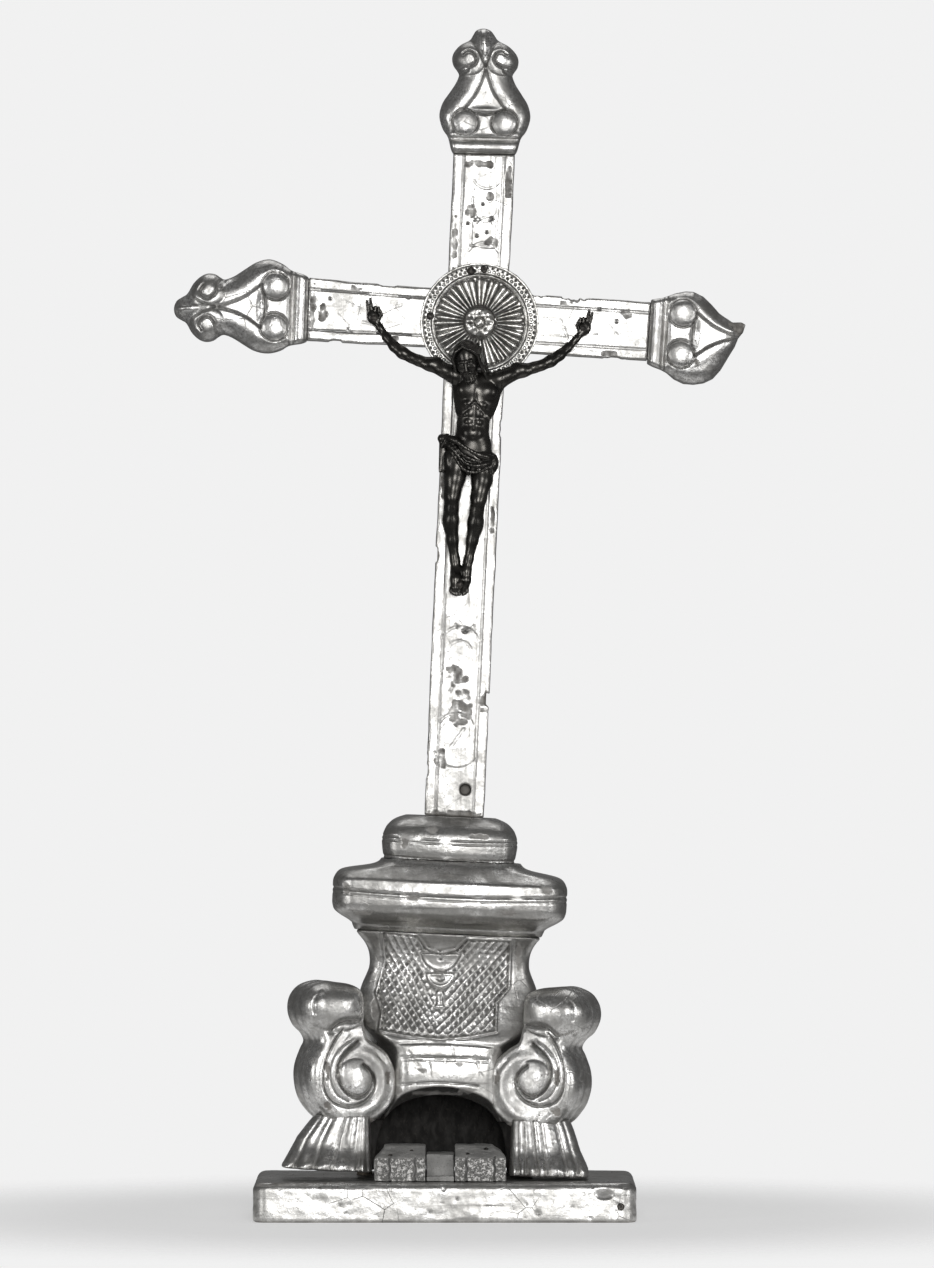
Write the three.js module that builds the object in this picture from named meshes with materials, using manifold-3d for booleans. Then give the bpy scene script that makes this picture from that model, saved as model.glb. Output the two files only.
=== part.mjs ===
// Altar cross: a carved and silvered wooden cross with scroll finials and a cast figure, standing in a waisted pedestal
// with two corner consoles on claw feet, over a rectangular plinth board.
// Millimetres, +Z up, front towards -Y. Origin at the middle of the plinth's underside.
import * as THREE from "three";
import { mergeVertices } from "three/addons/utils/BufferGeometryUtils.js";
import Module from "manifold-3d";

const wasm = await Module();
wasm.setup();

// ---------------------------------------------------------------- driving dimensions
const GAP = 0.3; // clearance between neighbouring pieces
const PLINTH = { w: 190, d: 120, h: 20, corner: 7, edge: 4 };
const LEAN_PEDESTAL = 1.2; // degrees the pedestal rocks to the right about its right foot
const LEAN_CROSS = 2.6; // degrees the cap and the cross lean to the right
const ARM_SKEW = 1.1; // degrees the arm is out of square with the upright
const PIVOT = [73, 0, PLINTH.h + GAP]; // the right foot's outer edge, about which the pedestal rocks
const SOCKET = [4.5, 9, 200]; // where the upright's shoulder rests on the socket block
const NICHE_TOP = 59.8;
const BODY = { back: 36, bottom: PLINTH.h + 0.7 };
const BACK_BOARD = { x: 42, y0: 36.3, y1: 43, z0: 21.2, z1: 139 };
const CONSOLE = { turn: 25, thick: 25, left: [-41.7, -32, 65.3], right: [41.2, -32, 64.6] };
const CAP = { bottom: -58.4, top: -22.3, yMid: 8 };
const BLOCK = { bottom: -22, top: -0.3, x: -1.5 };
const TENON = { w: 18, d: 9, len: 38, fit: 0.35 };
const UPRIGHT = { len: 331.3, half0: 15.1, half1: 15.75, t: 13, border: 4.8 };
const CROSSING = 248.7; // height of the arm's axis above the shoulder
const ARM = { left: -83.9, right: 85.8, half: 15, t: 13 };
const LAP = 6.5; // depth of the halving joint
const ROSETTE = { r: 30, x: 1.6, z: -1.0, y: -6.8 };
const FINIAL = { y0: -10, y1: 7, dowelR: 3, dowelLen: 26 };
const PEG_HOLE = { x: 5, z: 13.2, r: 2.8, depth: 7 };

const rad = THREE.MathUtils.degToRad;

// ---------------------------------------------------------------- materials
const mat = (color, roughness, metalness) => new THREE.MeshStandardMaterial({ color, roughness, metalness });
const SILVER = mat(0xb9b8b4, 0.42, 0.8);
const RAW_WOOD = mat(0x6e6353, 0.85, 0);
const STONE_PAINT = mat(0x8a8884, 0.7, 0.2);
const BRONZE = mat(0x2b2a28, 0.38, 0.9);
const SHEET = mat(0xa9a8a2, 0.35, 0.9);
const IRON = mat(0x34312e, 0.6, 0.8);

// ---------------------------------------------------------------- helpers
function solid(geometry) {
  const g = (geometry.index ? geometry.toNonIndexed() : geometry.clone());
  const bare = new THREE.BufferGeometry().setAttribute("position", g.getAttribute("position"));
  const m = mergeVertices(bare, 1e-4);
  return new wasm.Manifold(new wasm.Mesh({ numProp: 3, vertProperties: new Float32Array(m.attributes.position.array), triVerts: new Uint32Array(m.index.array) }));
}
function geometryOf(s) {
  const m = s.getMesh();
  const v = new Float32Array(m.numVert * 3);
  for (let i = 0; i < m.numVert; i++) v.set(m.vertProperties.subarray(i * m.numProp, i * m.numProp + 3), i * 3);
  const g = new THREE.BufferGeometry().setAttribute("position", new THREE.BufferAttribute(v, 3)).setIndex(new THREE.BufferAttribute(new Uint32Array(m.triVerts), 1));
  g.computeVertexNormals();
  return g;
}
const minus = (a, ...bs) => bs.reduce((s, b) => s.subtract(b), a);
const plus = (a, ...bs) => bs.reduce((s, b) => s.add(b), a);
const box = (x0, x1, y0, y1, z0, z1) => new THREE.BoxGeometry(x1 - x0, y1 - y0, z1 - z0).translate((x0 + x1) / 2, (y0 + y1) / 2, (z0 + z1) / 2);
const rod = (r, x, y, z0, z1, n = 14) => new THREE.CylinderGeometry(r, r, z1 - z0, n).rotateX(Math.PI / 2).translate(x, y, (z0 + z1) / 2);
const rodY = (r, x, z, y0, y1, n = 14) => new THREE.CylinderGeometry(r, r, y1 - y0, n).translate(x, (y0 + y1) / 2, z);
const rodX = (r, y, z, x0, x1, n = 14) => new THREE.CylinderGeometry(r, r, x1 - x0, n).rotateZ(Math.PI / 2).translate((x0 + x1) / 2, y, z);
const ball = (x, y, z, rx, ry = rx, rz = rx, n = 10) => new THREE.SphereGeometry(1, n, Math.round(n * 0.7)).scale(rx, ry, rz).translate(x, y, z);

// An outline in (x, z) extruded along Y from y0 to y1, with its edges eased by the bevel.
function panel(points, y0, y1, bevel = 0, segments = 1) {
  const shape = new THREE.Shape(points.map(([x, z]) => new THREE.Vector2(x, z)));
  const g = new THREE.ExtrudeGeometry(shape, { depth: y1 - y0 - 2 * bevel, bevelEnabled: bevel > 0, bevelSize: bevel, bevelOffset: -bevel, bevelThickness: bevel, bevelSegments: segments, steps: 1, curveSegments: 4 });
  return g.rotateX(Math.PI / 2).translate(0, y1 - bevel, 0);
}
// A closed smooth outline through control points.
function smooth(points, n) {
  const c = new THREE.CatmullRomCurve3(points.map(([x, z]) => new THREE.Vector3(x, z, 0)), true, "centripetal");
  return c.getSpacedPoints(n).slice(0, n).map((p) => [p.x, p.y]);
}
// A stack of rings of [x, y] points at heights z, closed at both ends.
function loft(rings) {
  const n = rings[0].pts.length;
  const v = [];
  const idx = [];
  for (const r of rings) for (const [x, y] of r.pts) v.push(x, y, r.z);
  for (let k = 0; k + 1 < rings.length; k++)
    for (let i = 0; i < n; i++) {
      const j = (i + 1) % n, a = k * n + i, b = k * n + j, c = a + n, d = b + n;
      idx.push(a, b, d, a, d, c);
    }
  const cap = (r, base, flip) => {
    const tri = THREE.ShapeUtils.triangulateShape(r.pts.map(([x, y]) => new THREE.Vector2(x, y)), []);
    for (const [a, b, c] of tri) flip ? idx.push(base + a, base + c, base + b) : idx.push(base + a, base + b, base + c);
  };
  cap(rings[0], 0, true);
  cap(rings[rings.length - 1], (rings.length - 1) * n, false);
  const g = new THREE.BufferGeometry().setAttribute("position", new THREE.Float32BufferAttribute(v, 3)).setIndex(idx);
  return g;
}
// A rectangle with rounded corners as a ring, counter-clockwise.
function roundedRect(x0, x1, y0, y1, r, seg = 3) {
  const pts = [];
  for (const [cx, cy, a0] of [[x1 - r, y1 - r, 0], [x0 + r, y1 - r, 90], [x0 + r, y0 + r, 180], [x1 - r, y0 + r, 270]])
    for (let i = 0; i <= seg; i++) {
      const a = rad(a0 + (90 * i) / seg);
      pts.push([cx + r * Math.cos(a), cy + r * Math.sin(a)]);
    }
  return pts;
}
// A nail whose head sits just proud of a surface at p, the shank going in against the outward direction.
function nail(p, out, { head = 1.5, rise = 0.9, shank = 0.6, len = 9, lift = 0.12, grow = 0 } = {}) {
  const s = shank + grow;
  const pts = grow
    ? [[0, -len - grow], [s, -len - grow], [s, rise + 3], [0, rise + 3]]
    : [[0, -len], [s * 0.5, -len + 1.2], [s, -len + 2.4], [s, lift], [head, lift], [head * 0.86, lift + rise * 0.6], [head * 0.45, lift + rise], [0, lift + rise]];
  const g = new THREE.LatheGeometry(pts.map(([x, y]) => new THREE.Vector2(x, y)), 8);
  const q = new THREE.Quaternion().setFromUnitVectors(new THREE.Vector3(0, 1, 0), new THREE.Vector3(...out).normalize());
  return g.applyQuaternion(q).translate(...p);
}
const hole = (p, out, o = {}) => solid(nail(p, out, { ...o, grow: 0.2 }));

// ---------------------------------------------------------------- the groups the object is built in
const root = new THREE.Group();
const pedestalTurn = new THREE.Group(); // rocks about the right foot
pedestalTurn.position.set(...PIVOT);
pedestalTurn.rotation.y = rad(LEAN_PEDESTAL);
const pedestal = new THREE.Group();
pedestal.position.set(-PIVOT[0], -PIVOT[1], -PIVOT[2]);
pedestalTurn.add(pedestal);
const cap = new THREE.Group(); // the cap, the socket block and the cross share one lean
cap.position.set(...SOCKET);
cap.rotation.y = rad(LEAN_CROSS);
const cross = new THREE.Group();
cap.add(cross);
const arm = new THREE.Group();
arm.position.set(0, 0, CROSSING);
arm.rotation.y = rad(ARM_SKEW);
cross.add(arm);
root.add(pedestalTurn, cap);
root.updateMatrixWorld(true);
const capToPedestal = pedestal.matrixWorld.clone().invert().multiply(cap.matrixWorld);
const rootToPedestal = pedestal.matrixWorld.clone().invert();
const armToCross = cross.matrixWorld.clone().invert().multiply(arm.matrixWorld);
const crossToArm = armToCross.clone().invert();

function add(parent, name, shape, material) {
  const g = shape.isBufferGeometry ? shape : geometryOf(shape);
  const m = new THREE.Mesh(g, material);
  m.name = name;
  parent.add(m);
  return m;
}

// ---------------------------------------------------------------- plinth board
const dowelXY = [[-40.5, 16], [38.5, 16]];
{
  const { w, d, h, corner: r, edge: e } = PLINTH;
  const ring = (inset, z) => ({ z, pts: roundedRect(-w / 2 + inset, w / 2 - inset, -d / 2 + inset, d / 2 - inset, Math.max(r - inset, 1.5), 4) });
  let s = solid(loft([ring(1.2, 0), ring(0, 1.4), ring(0, h - e), ring(e * 0.12, h - e * 0.5), ring(e * 0.5, h - e * 0.12), ring(e, h)]));
  for (const [x, y] of dowelXY) s = minus(s, solid(rod(4.2, x, y, 7, h + 5)));
  s = minus(s, hole([87, -60, 8], [0, -1, 0], { head: 2, len: 10 }));
  // ---- wall blocks under the arch, with their nails
  const slope = [[-54, h + 0.2], [-54, h + 11.6], [-52.6, h + 12.4], [-36, h + 17], [-33, h + 17.2], [-20, h + 17.2], [-20, h + 0.2]];
  const prismX = (pts, x0, x1) => new THREE.ExtrudeGeometry(new THREE.Shape(pts.map(([a, b]) => new THREE.Vector2(a, b))), { depth: x1 - x0, bevelEnabled: false }).applyMatrix4(new THREE.Matrix4().makeBasis(new THREE.Vector3(0, 1, 0), new THREE.Vector3(0, 0, 1), new THREE.Vector3(1, 0, 0))).translate(x0, 0, 0);
  const notch = (x) => solid(box(x - 0.5, x + 0.5, -60, -53.1, h, h + 13));
  let left = solid(prismX(slope, -35, -9.7));
  left = minus(left, solid(panel([[-40, h - 1], [-40, h + 20], [-29.5, h + 20], [-30.5, h + 15.6], [-33, h + 12.8], [-35.4, h + 10.6], [-35.2, h - 1]], -70, 0)), notch(-27.4), notch(-14.7));
  let right = solid(prismX(slope, 5.1, 30.3));
  right = minus(right, solid(panel([[36, h - 1], [36, h + 20], [20, h + 20], [24.5, h + 16.4], [28, h + 13.8], [30.5, h + 10.6], [30.5, h - 1]], -70, 0)), notch(10.7), notch(24.6));
  let middle = solid(panel([[-9.2, h + 0.2], [4.6, h + 0.2], [4.6, h + 13.4], [-9.2, h + 13.4]], -50, -24));
  middle = plus(middle, solid(box(-9.2, 4.6, -53.5, -49.5, h + 0.2, h + 2.8)));
  const up = [0, -0.26, 0.966];
  const onSlope = (x, y) => [x, y, h + 12.4 + ((y + 52.6) * 4.6) / 16.6];
  const wallNails = { wall_nail_1: onSlope(-27.0, -50.6), wall_nail_2: onSlope(-16.6, -44), wall_nail_3: onSlope(11.5, -49), wall_nail_4: onSlope(20.5, -41.5) };
  for (const [name, p] of Object.entries(wallNails)) {
    const c = hole(p, up, { len: 8 });
    if (p[0] < 0) left = minus(left, c);
    else right = minus(right, c);
    add(root, name, nail(p, up, { len: 8, head: 1.3, rise: 0.7 }), IRON);
  }
  add(root, "plinth_board", s, SILVER);
  add(root, "left_wall_block", left, STONE_PAINT);
  add(root, "right_wall_block", right, STONE_PAINT);
  add(root, "middle_wall_block", middle, STONE_PAINT);
  add(root, "plinth_nail", nail([87, -60, 8], [0, -1, 0], { head: 2, len: 10 }), IRON);
  dowelXY.forEach(([x, y], i) => add(root, ["left", "right"][i] + "_plinth_dowel", rod(3.9, x, y, 7.3, 34, 14), RAW_WOOD));
}

// ---------------------------------------------------------------- consoles and feet
// S-scroll outline in its own plane: h outward, z up, about the centre of the lower volute.
const SCROLL = [[0, -21.2], [9, -20.2], [17, -15.6], [23, -8], [25.6, 1], [25.2, 9], [22.4, 16.5], [20.4, 20.5], [22.5, 24.5], [27, 28.5], [29.8, 35], [29.3, 42], [25, 47.6], [17.5, 50.2], [9, 50], [2.5, 48], [0.2, 44.5], [-0.6, 36], [-1.6, 28], [-4.4, 22.6], [-10, 19.6], [-16.6, 14], [-20.8, 6], [-21.4, -3], [-18.6, -11.6], [-12, -17.8], [-6, -20.6]];
function consoleSolid(side, grow = 0) {
  const s = side === "left" ? -1 : 1;
  const pts = smooth(SCROLL, 56).map(([h, z]) => [s * (h + (h - 4) * grow * 0.04), z + (z - 14) * grow * 0.026]);
  if (s < 0) pts.reverse();
  let g = solid(panel(pts, -grow * 0.5, CONSOLE.thick + grow * 0.5, grow ? 0 : 1.6));
  if (!grow) {
    g = plus(g, solid(ball(s * 2.6, 0.4, 1.6, 9.6, 3.6, 9.6, 14)));
    g = plus(g, solid(ball(s * 17, 0.6, 35.5, 8, 3, 8, 12)));
  }
  return g;
}
const turnConsole = (g, side) => {
  const s = side === "left" ? -1 : 1;
  const [x, y, z] = CONSOLE[side];
  return g.applyMatrix4(new THREE.Matrix4().makeRotationZ(s * rad(CONSOLE.turn) * -1)).translate(x, y, z);
};
const placed = {};
for (const side of ["left", "right"]) {
  placed[side] = solid(turnConsole(geometryOf(consoleSolid(side, 1)), side));
  add(pedestal, side + "_console", turnConsole(geometryOf(consoleSolid(side)), side), SILVER);
}
// Claw feet: flared, with lobed toes along the front edge.
function foot(x0, x1, xt0, xt1, yf, flip) {
  const n = 20;
  const ring = (z, a, b, front, back, lobe) => {
    const pts = [];
    for (let i = 0; i < n; i++) {
      const t = (i / n) * Math.PI * 2;
      const c = Math.cos(t), s = Math.sin(t);
      const px = Math.sign(c) * Math.pow(Math.abs(c), 0.6), py = Math.sign(s) * Math.pow(Math.abs(s), 0.6);
      const wave = s < -0.1 ? lobe * Math.cos(c * Math.PI * 4) : 0;
      pts.push([(a + b) / 2 + (px * (b - a)) / 2, (front + back) / 2 + (py * (back - front)) / 2 + wave]);
    }
    return { z, pts };
  };
  const lerp = (a, b, t) => a + (b - a) * t;
  const rows = [[21, 1, 0.5], [24.5, 1.0, 0.6], [28, 0.82, 0.4], [33, 0.5, 0.2], [38, 0.2, 0], [42.6, 0, 0]];
  return loft(rows.map(([z, t, l]) => ring(z, lerp(xt0, x0, t), lerp(xt1, x1, t), lerp(yf + 9, yf, t), -3, l)));
}
add(pedestal, "left_foot", foot(-82, -36, -68, -37, -45, false), SILVER);
add(pedestal, "right_foot", foot(31.5, 72.6, 32.5, 64, -45, true), SILVER);

// ---------------------------------------------------------------- pedestal body, hollowed by an arched niche
{
  const rows = [
    [BODY.bottom, 44, 2, 24, -2.4], [46.6, 44, 2, 24, -2.4], [47.2, 44, 2, 24, -26], [66, 44, 2, 24, -26], [84, 43, 1, 24.5, -26], [88, 42, -6, 33, -25], [92, 41.5, -14, 35, -23.6], [104, 40.6, -14.5, 35.2, -20],
    [115, 39.6, -13, 34.6, -17.6], [124, 39, -12.4, 34.4, -16.6], [131, 40, -13.2, 35.4, -17.6], [136.5, 43, -16, 38.4, -20.6], [140.5, 47.5, -20, 42.6, -25], [150, 49, -21, 44, -26]];
  let s = solid(loft(rows.map(([z, hb, yc, hf, yf]) => ({ z, pts: [[hb, BODY.back], [-hb, BODY.back], [-hb, yc], [-hf, yf], [0, yf - 1.2], [hf, yf], [hb, yc]] }))));
  const niche = [[-36, 10], [-34, 36], [-30, 48], [-23, 54.8], [-13, 58.6], [-2.6, NICHE_TOP], [8, 58.6], [18, 54.8], [25, 48], [29.5, 36], [31.5, 10]];
  s = minus(s, solid(panel(niche, -40, BODY.back + 5)));
  s = minus(s, solid(box(-90, 90, -90, 90, CAP.bottom - GAP, 60).applyMatrix4(capToPedestal)));
  s = minus(s, placed.left, placed.right);
  for (const [x, y] of dowelXY) s = minus(s, solid(rod(4.9, x, y, 10, 36, 14).applyMatrix4(new THREE.Matrix4().makeTranslation(0, 0, 0))));
  for (const x of [-26, 26]) s = minus(s, solid(rod(4.5, x, 0, CAP.bottom - 13, CAP.bottom + 5).applyMatrix4(capToPedestal)));
  // ---- back board, nailed on
  let b = solid(box(-BACK_BOARD.x, BACK_BOARD.x, BACK_BOARD.y0, BACK_BOARD.y1, BACK_BOARD.z0, BACK_BOARD.z1));
  const backNails = [[-37, 130], [37, 130], [-39, 30], [39, 30]];
  backNails.forEach(([x, z], i) => {
    const p = [x, BACK_BOARD.y1, z];
    const c = hole(p, [0, 1, 0], { len: 14 });
    b = minus(b, c);
    s = minus(s, c);
    add(pedestal, "back_nail_" + (i + 1), nail(p, [0, 1, 0], { len: 14 }), IRON);
  });
  add(pedestal, "pedestal_body", s, SILVER);
  add(pedestal, "back_board", b, RAW_WOOD);
}

// ---------------------------------------------------------------- cap moulding and socket block
{
  const { w, d, fit } = TENON;
  const mortise = () => solid(box(-w / 2 - fit, w / 2 + fit, -d / 2 - fit, d / 2 + fit, -TENON.len - 1, 5));
  const capRing = (hx, z) => ({ z, pts: roundedRect(-hx - 0.4, hx - 0.4, -38 + (58.5 - hx) + CAP.yMid - SOCKET[1], 38 - (58.5 - hx) + CAP.yMid - SOCKET[1], 9, 3) });
  const c = CAP.bottom;
  let s = solid(loft([[46.8, 0], [48.8, 4.2], [54, 7], [57.6, 9.6], [58.6, 13], [58.6, 19], [57.6, 24.5], [55.4, 29], [52, 32], [44.5, 34.2], [36, CAP.top - c]].map(([hx, z]) => capRing(hx, c + z))));
  s = minus(s, mortise());
  for (const x of [-26, 26]) s = minus(s, solid(rod(4.3, x, 0, c - 5, c + 14)));
  const nailAt = [0.5, -21.5, -23.42], nailOut = [0, -0.22, 0.975];
  const drill = hole(nailAt, nailOut, { len: 12 });
  s = minus(s, drill);
  const b = BLOCK.x;
  const blockRing = (hx, z) => ({ z, pts: roundedRect(b - hx, b + hx, -28 + (34 - hx), 28 - (34 - hx), 8, 3) });
  const z0 = BLOCK.bottom;
  let t = solid(loft([blockRing(33.4, z0), blockRing(32, z0 + 2.4), blockRing(33.2, z0 + 5), blockRing(34, z0 + 8.5), blockRing(33.8, z0 + 12), blockRing(32.4, z0 + 15.5), blockRing(29.4, z0 + 18.8), blockRing(25.4, z0 + 21), blockRing(21, BLOCK.top)]));
  t = minus(t, mortise());
  add(cap, "cap_moulding", s, SILVER);
  add(cap, "socket_block", t, SILVER);
  add(cap, "cap_nail", nail(nailAt, nailOut, { len: 9, head: 1.4, rise: 0.7, lift: 0.3 }), IRON);
  [-26, 26].forEach((x, i) => add(cap, ["left", "right"][i] + "_cap_dowel", rod(3.9, x, 0, c - 12, c + 13, 14), RAW_WOOD));
}

// ---------------------------------------------------------------- cross: halved boards
// Board section: flat back, eased front corners, and a scribed line inside each long edge.
function boardSection(half, t, border) {
  const f = -t / 2, b = t / 2, g = 0.7, k = 1.1;
  const right = [[half, b], [half, f + k], [half - k, f], [half - border + g, f], [half - border, f + g], [half - border - g, f]];
  const left = right.map(([x, y]) => [-x, y]).reverse();
  return [...right.slice().reverse(), ...left.slice().reverse()];
}
function board(section, len, steps) {
  const shape = new THREE.Shape(section.map(([x, y]) => new THREE.Vector2(x, y)));
  return new THREE.ExtrudeGeometry(shape, { depth: len, steps, bevelEnabled: false });
}
const rosetteAt = [ROSETTE.x, ROSETTE.z + CROSSING];
const rosetteNails = [[-5.5, 25.5], [1.0, 26.5], [-24.8, 2.1]];
const handNails = { left_hand_nail: [-51.2, -2.4], right_hand_nail: [53.6, -0.6] };
const footNailZ = 116, footNailX = -2.4;
{
  const U = UPRIGHT;
  let g = board(boardSection(U.half1, U.t, U.border), U.len, 6);
  const p = g.attributes.position;
  for (let i = 0; i < p.count; i++) p.setX(i, (p.getX(i) * (U.half0 + ((U.half1 - U.half0) * p.getZ(i)) / U.len)) / U.half1);
  let s = solid(g);
  s = plus(s, solid(box(-TENON.w / 2, TENON.w / 2, -TENON.d / 2, TENON.d / 2, -TENON.len, 0.5)));
  const notch = solid(box(-40, 40, -20, LAP - U.t / 2 + 0.2, -ARM.half - 0.5, ARM.half + 0.5).applyMatrix4(armToCross));
  s = minus(s, notch, solid(rod(FINIAL.dowelR + 0.3, 0, 0, U.len - 14, U.len + 5)));
  s = minus(s, solid(rodY(PEG_HOLE.r, PEG_HOLE.x, PEG_HOLE.z, -U.t / 2 - 5, -U.t / 2 + PEG_HOLE.depth, 16)));
  s = minus(s, solid(rodY(2.8, 0, CROSSING, -20, 20)));
  for (const [x, z] of rosetteNails.slice(0, 2)) s = minus(s, hole([rosetteAt[0] + x, -U.t / 2, rosetteAt[1] + z], [0, -1, 0], { len: 8 }));
  s = minus(s, hole([footNailX, -U.t / 2, footNailZ], [0, -1, 0], { len: 8, shank: 0.8 }));

  // arm board, laid along X: turned so that its section's x runs up
  let a = board(boardSection(ARM.half, ARM.t, U.border), ARM.right - ARM.left, 8);
  const q = a.attributes.position;
  for (let i = 0; i < q.count; i++) {
    const along = ARM.left + q.getZ(i);
    const k = along < -20 ? 1 + 0.065 * ((-20 - along) / 64) : 1;
    q.setX(i, q.getX(i) * k);
  }
  a = a.applyMatrix4(new THREE.Matrix4().makeBasis(new THREE.Vector3(0, 0, -1), new THREE.Vector3(0, 1, 0), new THREE.Vector3(1, 0, 0))).translate(ARM.left, 0, 0);
  let t = solid(a);
  const back = solid(box(-U.half1 - 0.4, U.half1 + 0.4, LAP - ARM.t / 2 - 0.2, 20, -40, 40).applyMatrix4(crossToArm.clone().multiply(new THREE.Matrix4().makeTranslation(0, 0, CROSSING))));
  t = minus(t, back);
  for (const [x0, x1] of [[ARM.left - 5, ARM.left + 14], [ARM.right - 14, ARM.right + 5]]) t = minus(t, solid(rodX(FINIAL.dowelR + 0.3, 0, 0, x0, x1)));
  t = minus(t, solid(rodY(2.8, 0, 0, -20, 20)));
  {
    const [x, z] = rosetteNails[2];
    const p = new THREE.Vector3(rosetteAt[0] + x, -ARM.t / 2, rosetteAt[1] + z).applyMatrix4(crossToArm);
    t = minus(t, hole(p.toArray(), [0, -1, 0], { len: 8 }));
  }
  for (const [x, z] of Object.values(handNails)) t = minus(t, hole([x, -ARM.t / 2, z], [0, -1, 0], { len: 8 }));
  add(cross, "upright_board", s, SILVER);
  add(arm, "arm_board", t, SILVER);
  add(cross, "lap_peg", rodY(2.5, 0, CROSSING, -6.2, 6.3, 12), RAW_WOOD);
}

// ---------------------------------------------------------------- finials
// Half outline: distance from the joint, half width.
const FINIAL_HALF = [[0, 16.4], [3, 17.4], [7, 18.6], [10, 18.8], [15, 22.2], [22, 23.6], [29.5, 21.6], [36, 17], [42, 13], [45, 13.4], [49, 16.8], [54, 16.2], [59, 11.4], [62, 6.2], [66, 3.4]];
function finialOutline(scale, broken) {
  const half = FINIAL_HALF.map(([t, w]) => [t * scale, w * (0.5 + scale / 2)]);
  let pts;
  if (!broken) pts = [...half.map(([t, w]) => [w, t]), [0, 67.2 * scale], ...half.slice().reverse().map(([t, w]) => [-w, t])];
  else {
    const kept = half.filter(([t]) => t < 40);
    // right-hand edge is the lower edge once the finial is laid out to the right
    pts = [...kept.map(([t, w]) => [w, t]), [6.5, 43.5], [1.2, 45], [-4.5, 48.4], [-8.2, 48.2], [-8.6, 44.4], ...kept.slice().reverse().map(([t, w]) => [-w, t])];
  }
  return pts;
}
function finial(scale, broken) {
  const ctrl = finialOutline(scale, broken);
  const open = new THREE.CatmullRomCurve3(ctrl.map(([x, z]) => new THREE.Vector3(x, z, 0)), false, "centripetal").getSpacedPoints(52).map((p) => [p.x, p.y]);
  let s = solid(panel(open, FINIAL.y0, FINIAL.y1, 1.4, 1));
  // squared seat at the joint, collar roll, and the two carved pearls
  s = plus(s, solid(box(-16.2, 16.2, FINIAL.y0 + 1.6, FINIAL.y1, 0, 4)));
  const pearl = (x, z, r, h) => solid(ball(x, FINIAL.y0 + 0.6, z, r, h, r, 12));
  s = plus(s, pearl(10.4, 17.5 * scale, 6.6, 3), pearl(-10.4, 17.5 * scale, 6.6, 3));
  if (!broken) s = plus(s, pearl(9.8, 49.5 * scale, 5.6, 2.4), pearl(-9.8, 49.5 * scale, 5.6, 2.4));
  s = minus(s, solid(box(-60, 60, -40, 40, -20, 0)));
  s = minus(s, solid(rod(FINIAL.dowelR + 0.3, 0, 0, -5, 13)));
  return s;
}
{
  const place = (parent, name, s, x, z, turn) => {
    const g = new THREE.Group();
    g.position.set(x, 0, z);
    g.rotation.y = rad(turn);
    parent.add(g);
    add(g, name, s, SILVER);
  };
  place(cross, "top_finial", finial(0.94, false), 0, UPRIGHT.len + GAP + 0.6, -1.4);
  place(arm, "left_finial", finial(1, false), ARM.left - GAP - 0.6, 0, -91.6);
  place(arm, "right_finial", finial(1, true), ARM.right + GAP + 0.6, 0, 90);
  add(cross, "top_finial_dowel", rod(FINIAL.dowelR - 0.2, 0, 0, UPRIGHT.len - 12.5, UPRIGHT.len + 11.5, 12), RAW_WOOD);
  add(arm, "left_finial_dowel", rodX(FINIAL.dowelR - 0.3, 0, 0, ARM.left - 11, ARM.left + 12.5, 12), RAW_WOOD);
  add(arm, "right_finial_dowel", rodX(FINIAL.dowelR - 0.2, 0, 0, ARM.right - 12.5, ARM.right + 11.5, 12), RAW_WOOD);
}

// ---------------------------------------------------------------- pressed rosette
{
  const R = ROSETTE;
  const top = [[R.r, 0.7], [28.6, 0.9], [27.4, 0.5], [24.2, 0.6], [23, 1.3], [9.2, 1.6], [8.2, 2.4], [5, 3.6], [0, 4]];
  const pts = [[0, 3.2], [5, 2.8], [7.8, 1.6], [8.9, 0.9], [22.6, 0.5], [23.9, 0.02], [27.6, -0.02], [29.9, 0], ...top];
  let s = solid(new THREE.LatheGeometry(pts.map(([x, y]) => new THREE.Vector2(x, y)), 28).rotateX(Math.PI).translate(rosetteAt[0], R.y, rosetteAt[1]));
  rosetteNails.forEach(([x, z], i) => {
    const p = [rosetteAt[0] + x, R.y - 0.75, rosetteAt[1] + z];
    s = minus(s, hole(p, [0, -1, 0], { len: 8 }));
    add(cross, "rosette_nail_" + (i + 1), nail(p, [0, -1, 0], { len: 7.5, head: [2.2, 1.8, 2.1][i], rise: 1.2, lift: 0.7 }), IRON);
  });
  add(cross, "rosette", s, SHEET);
}

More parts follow.
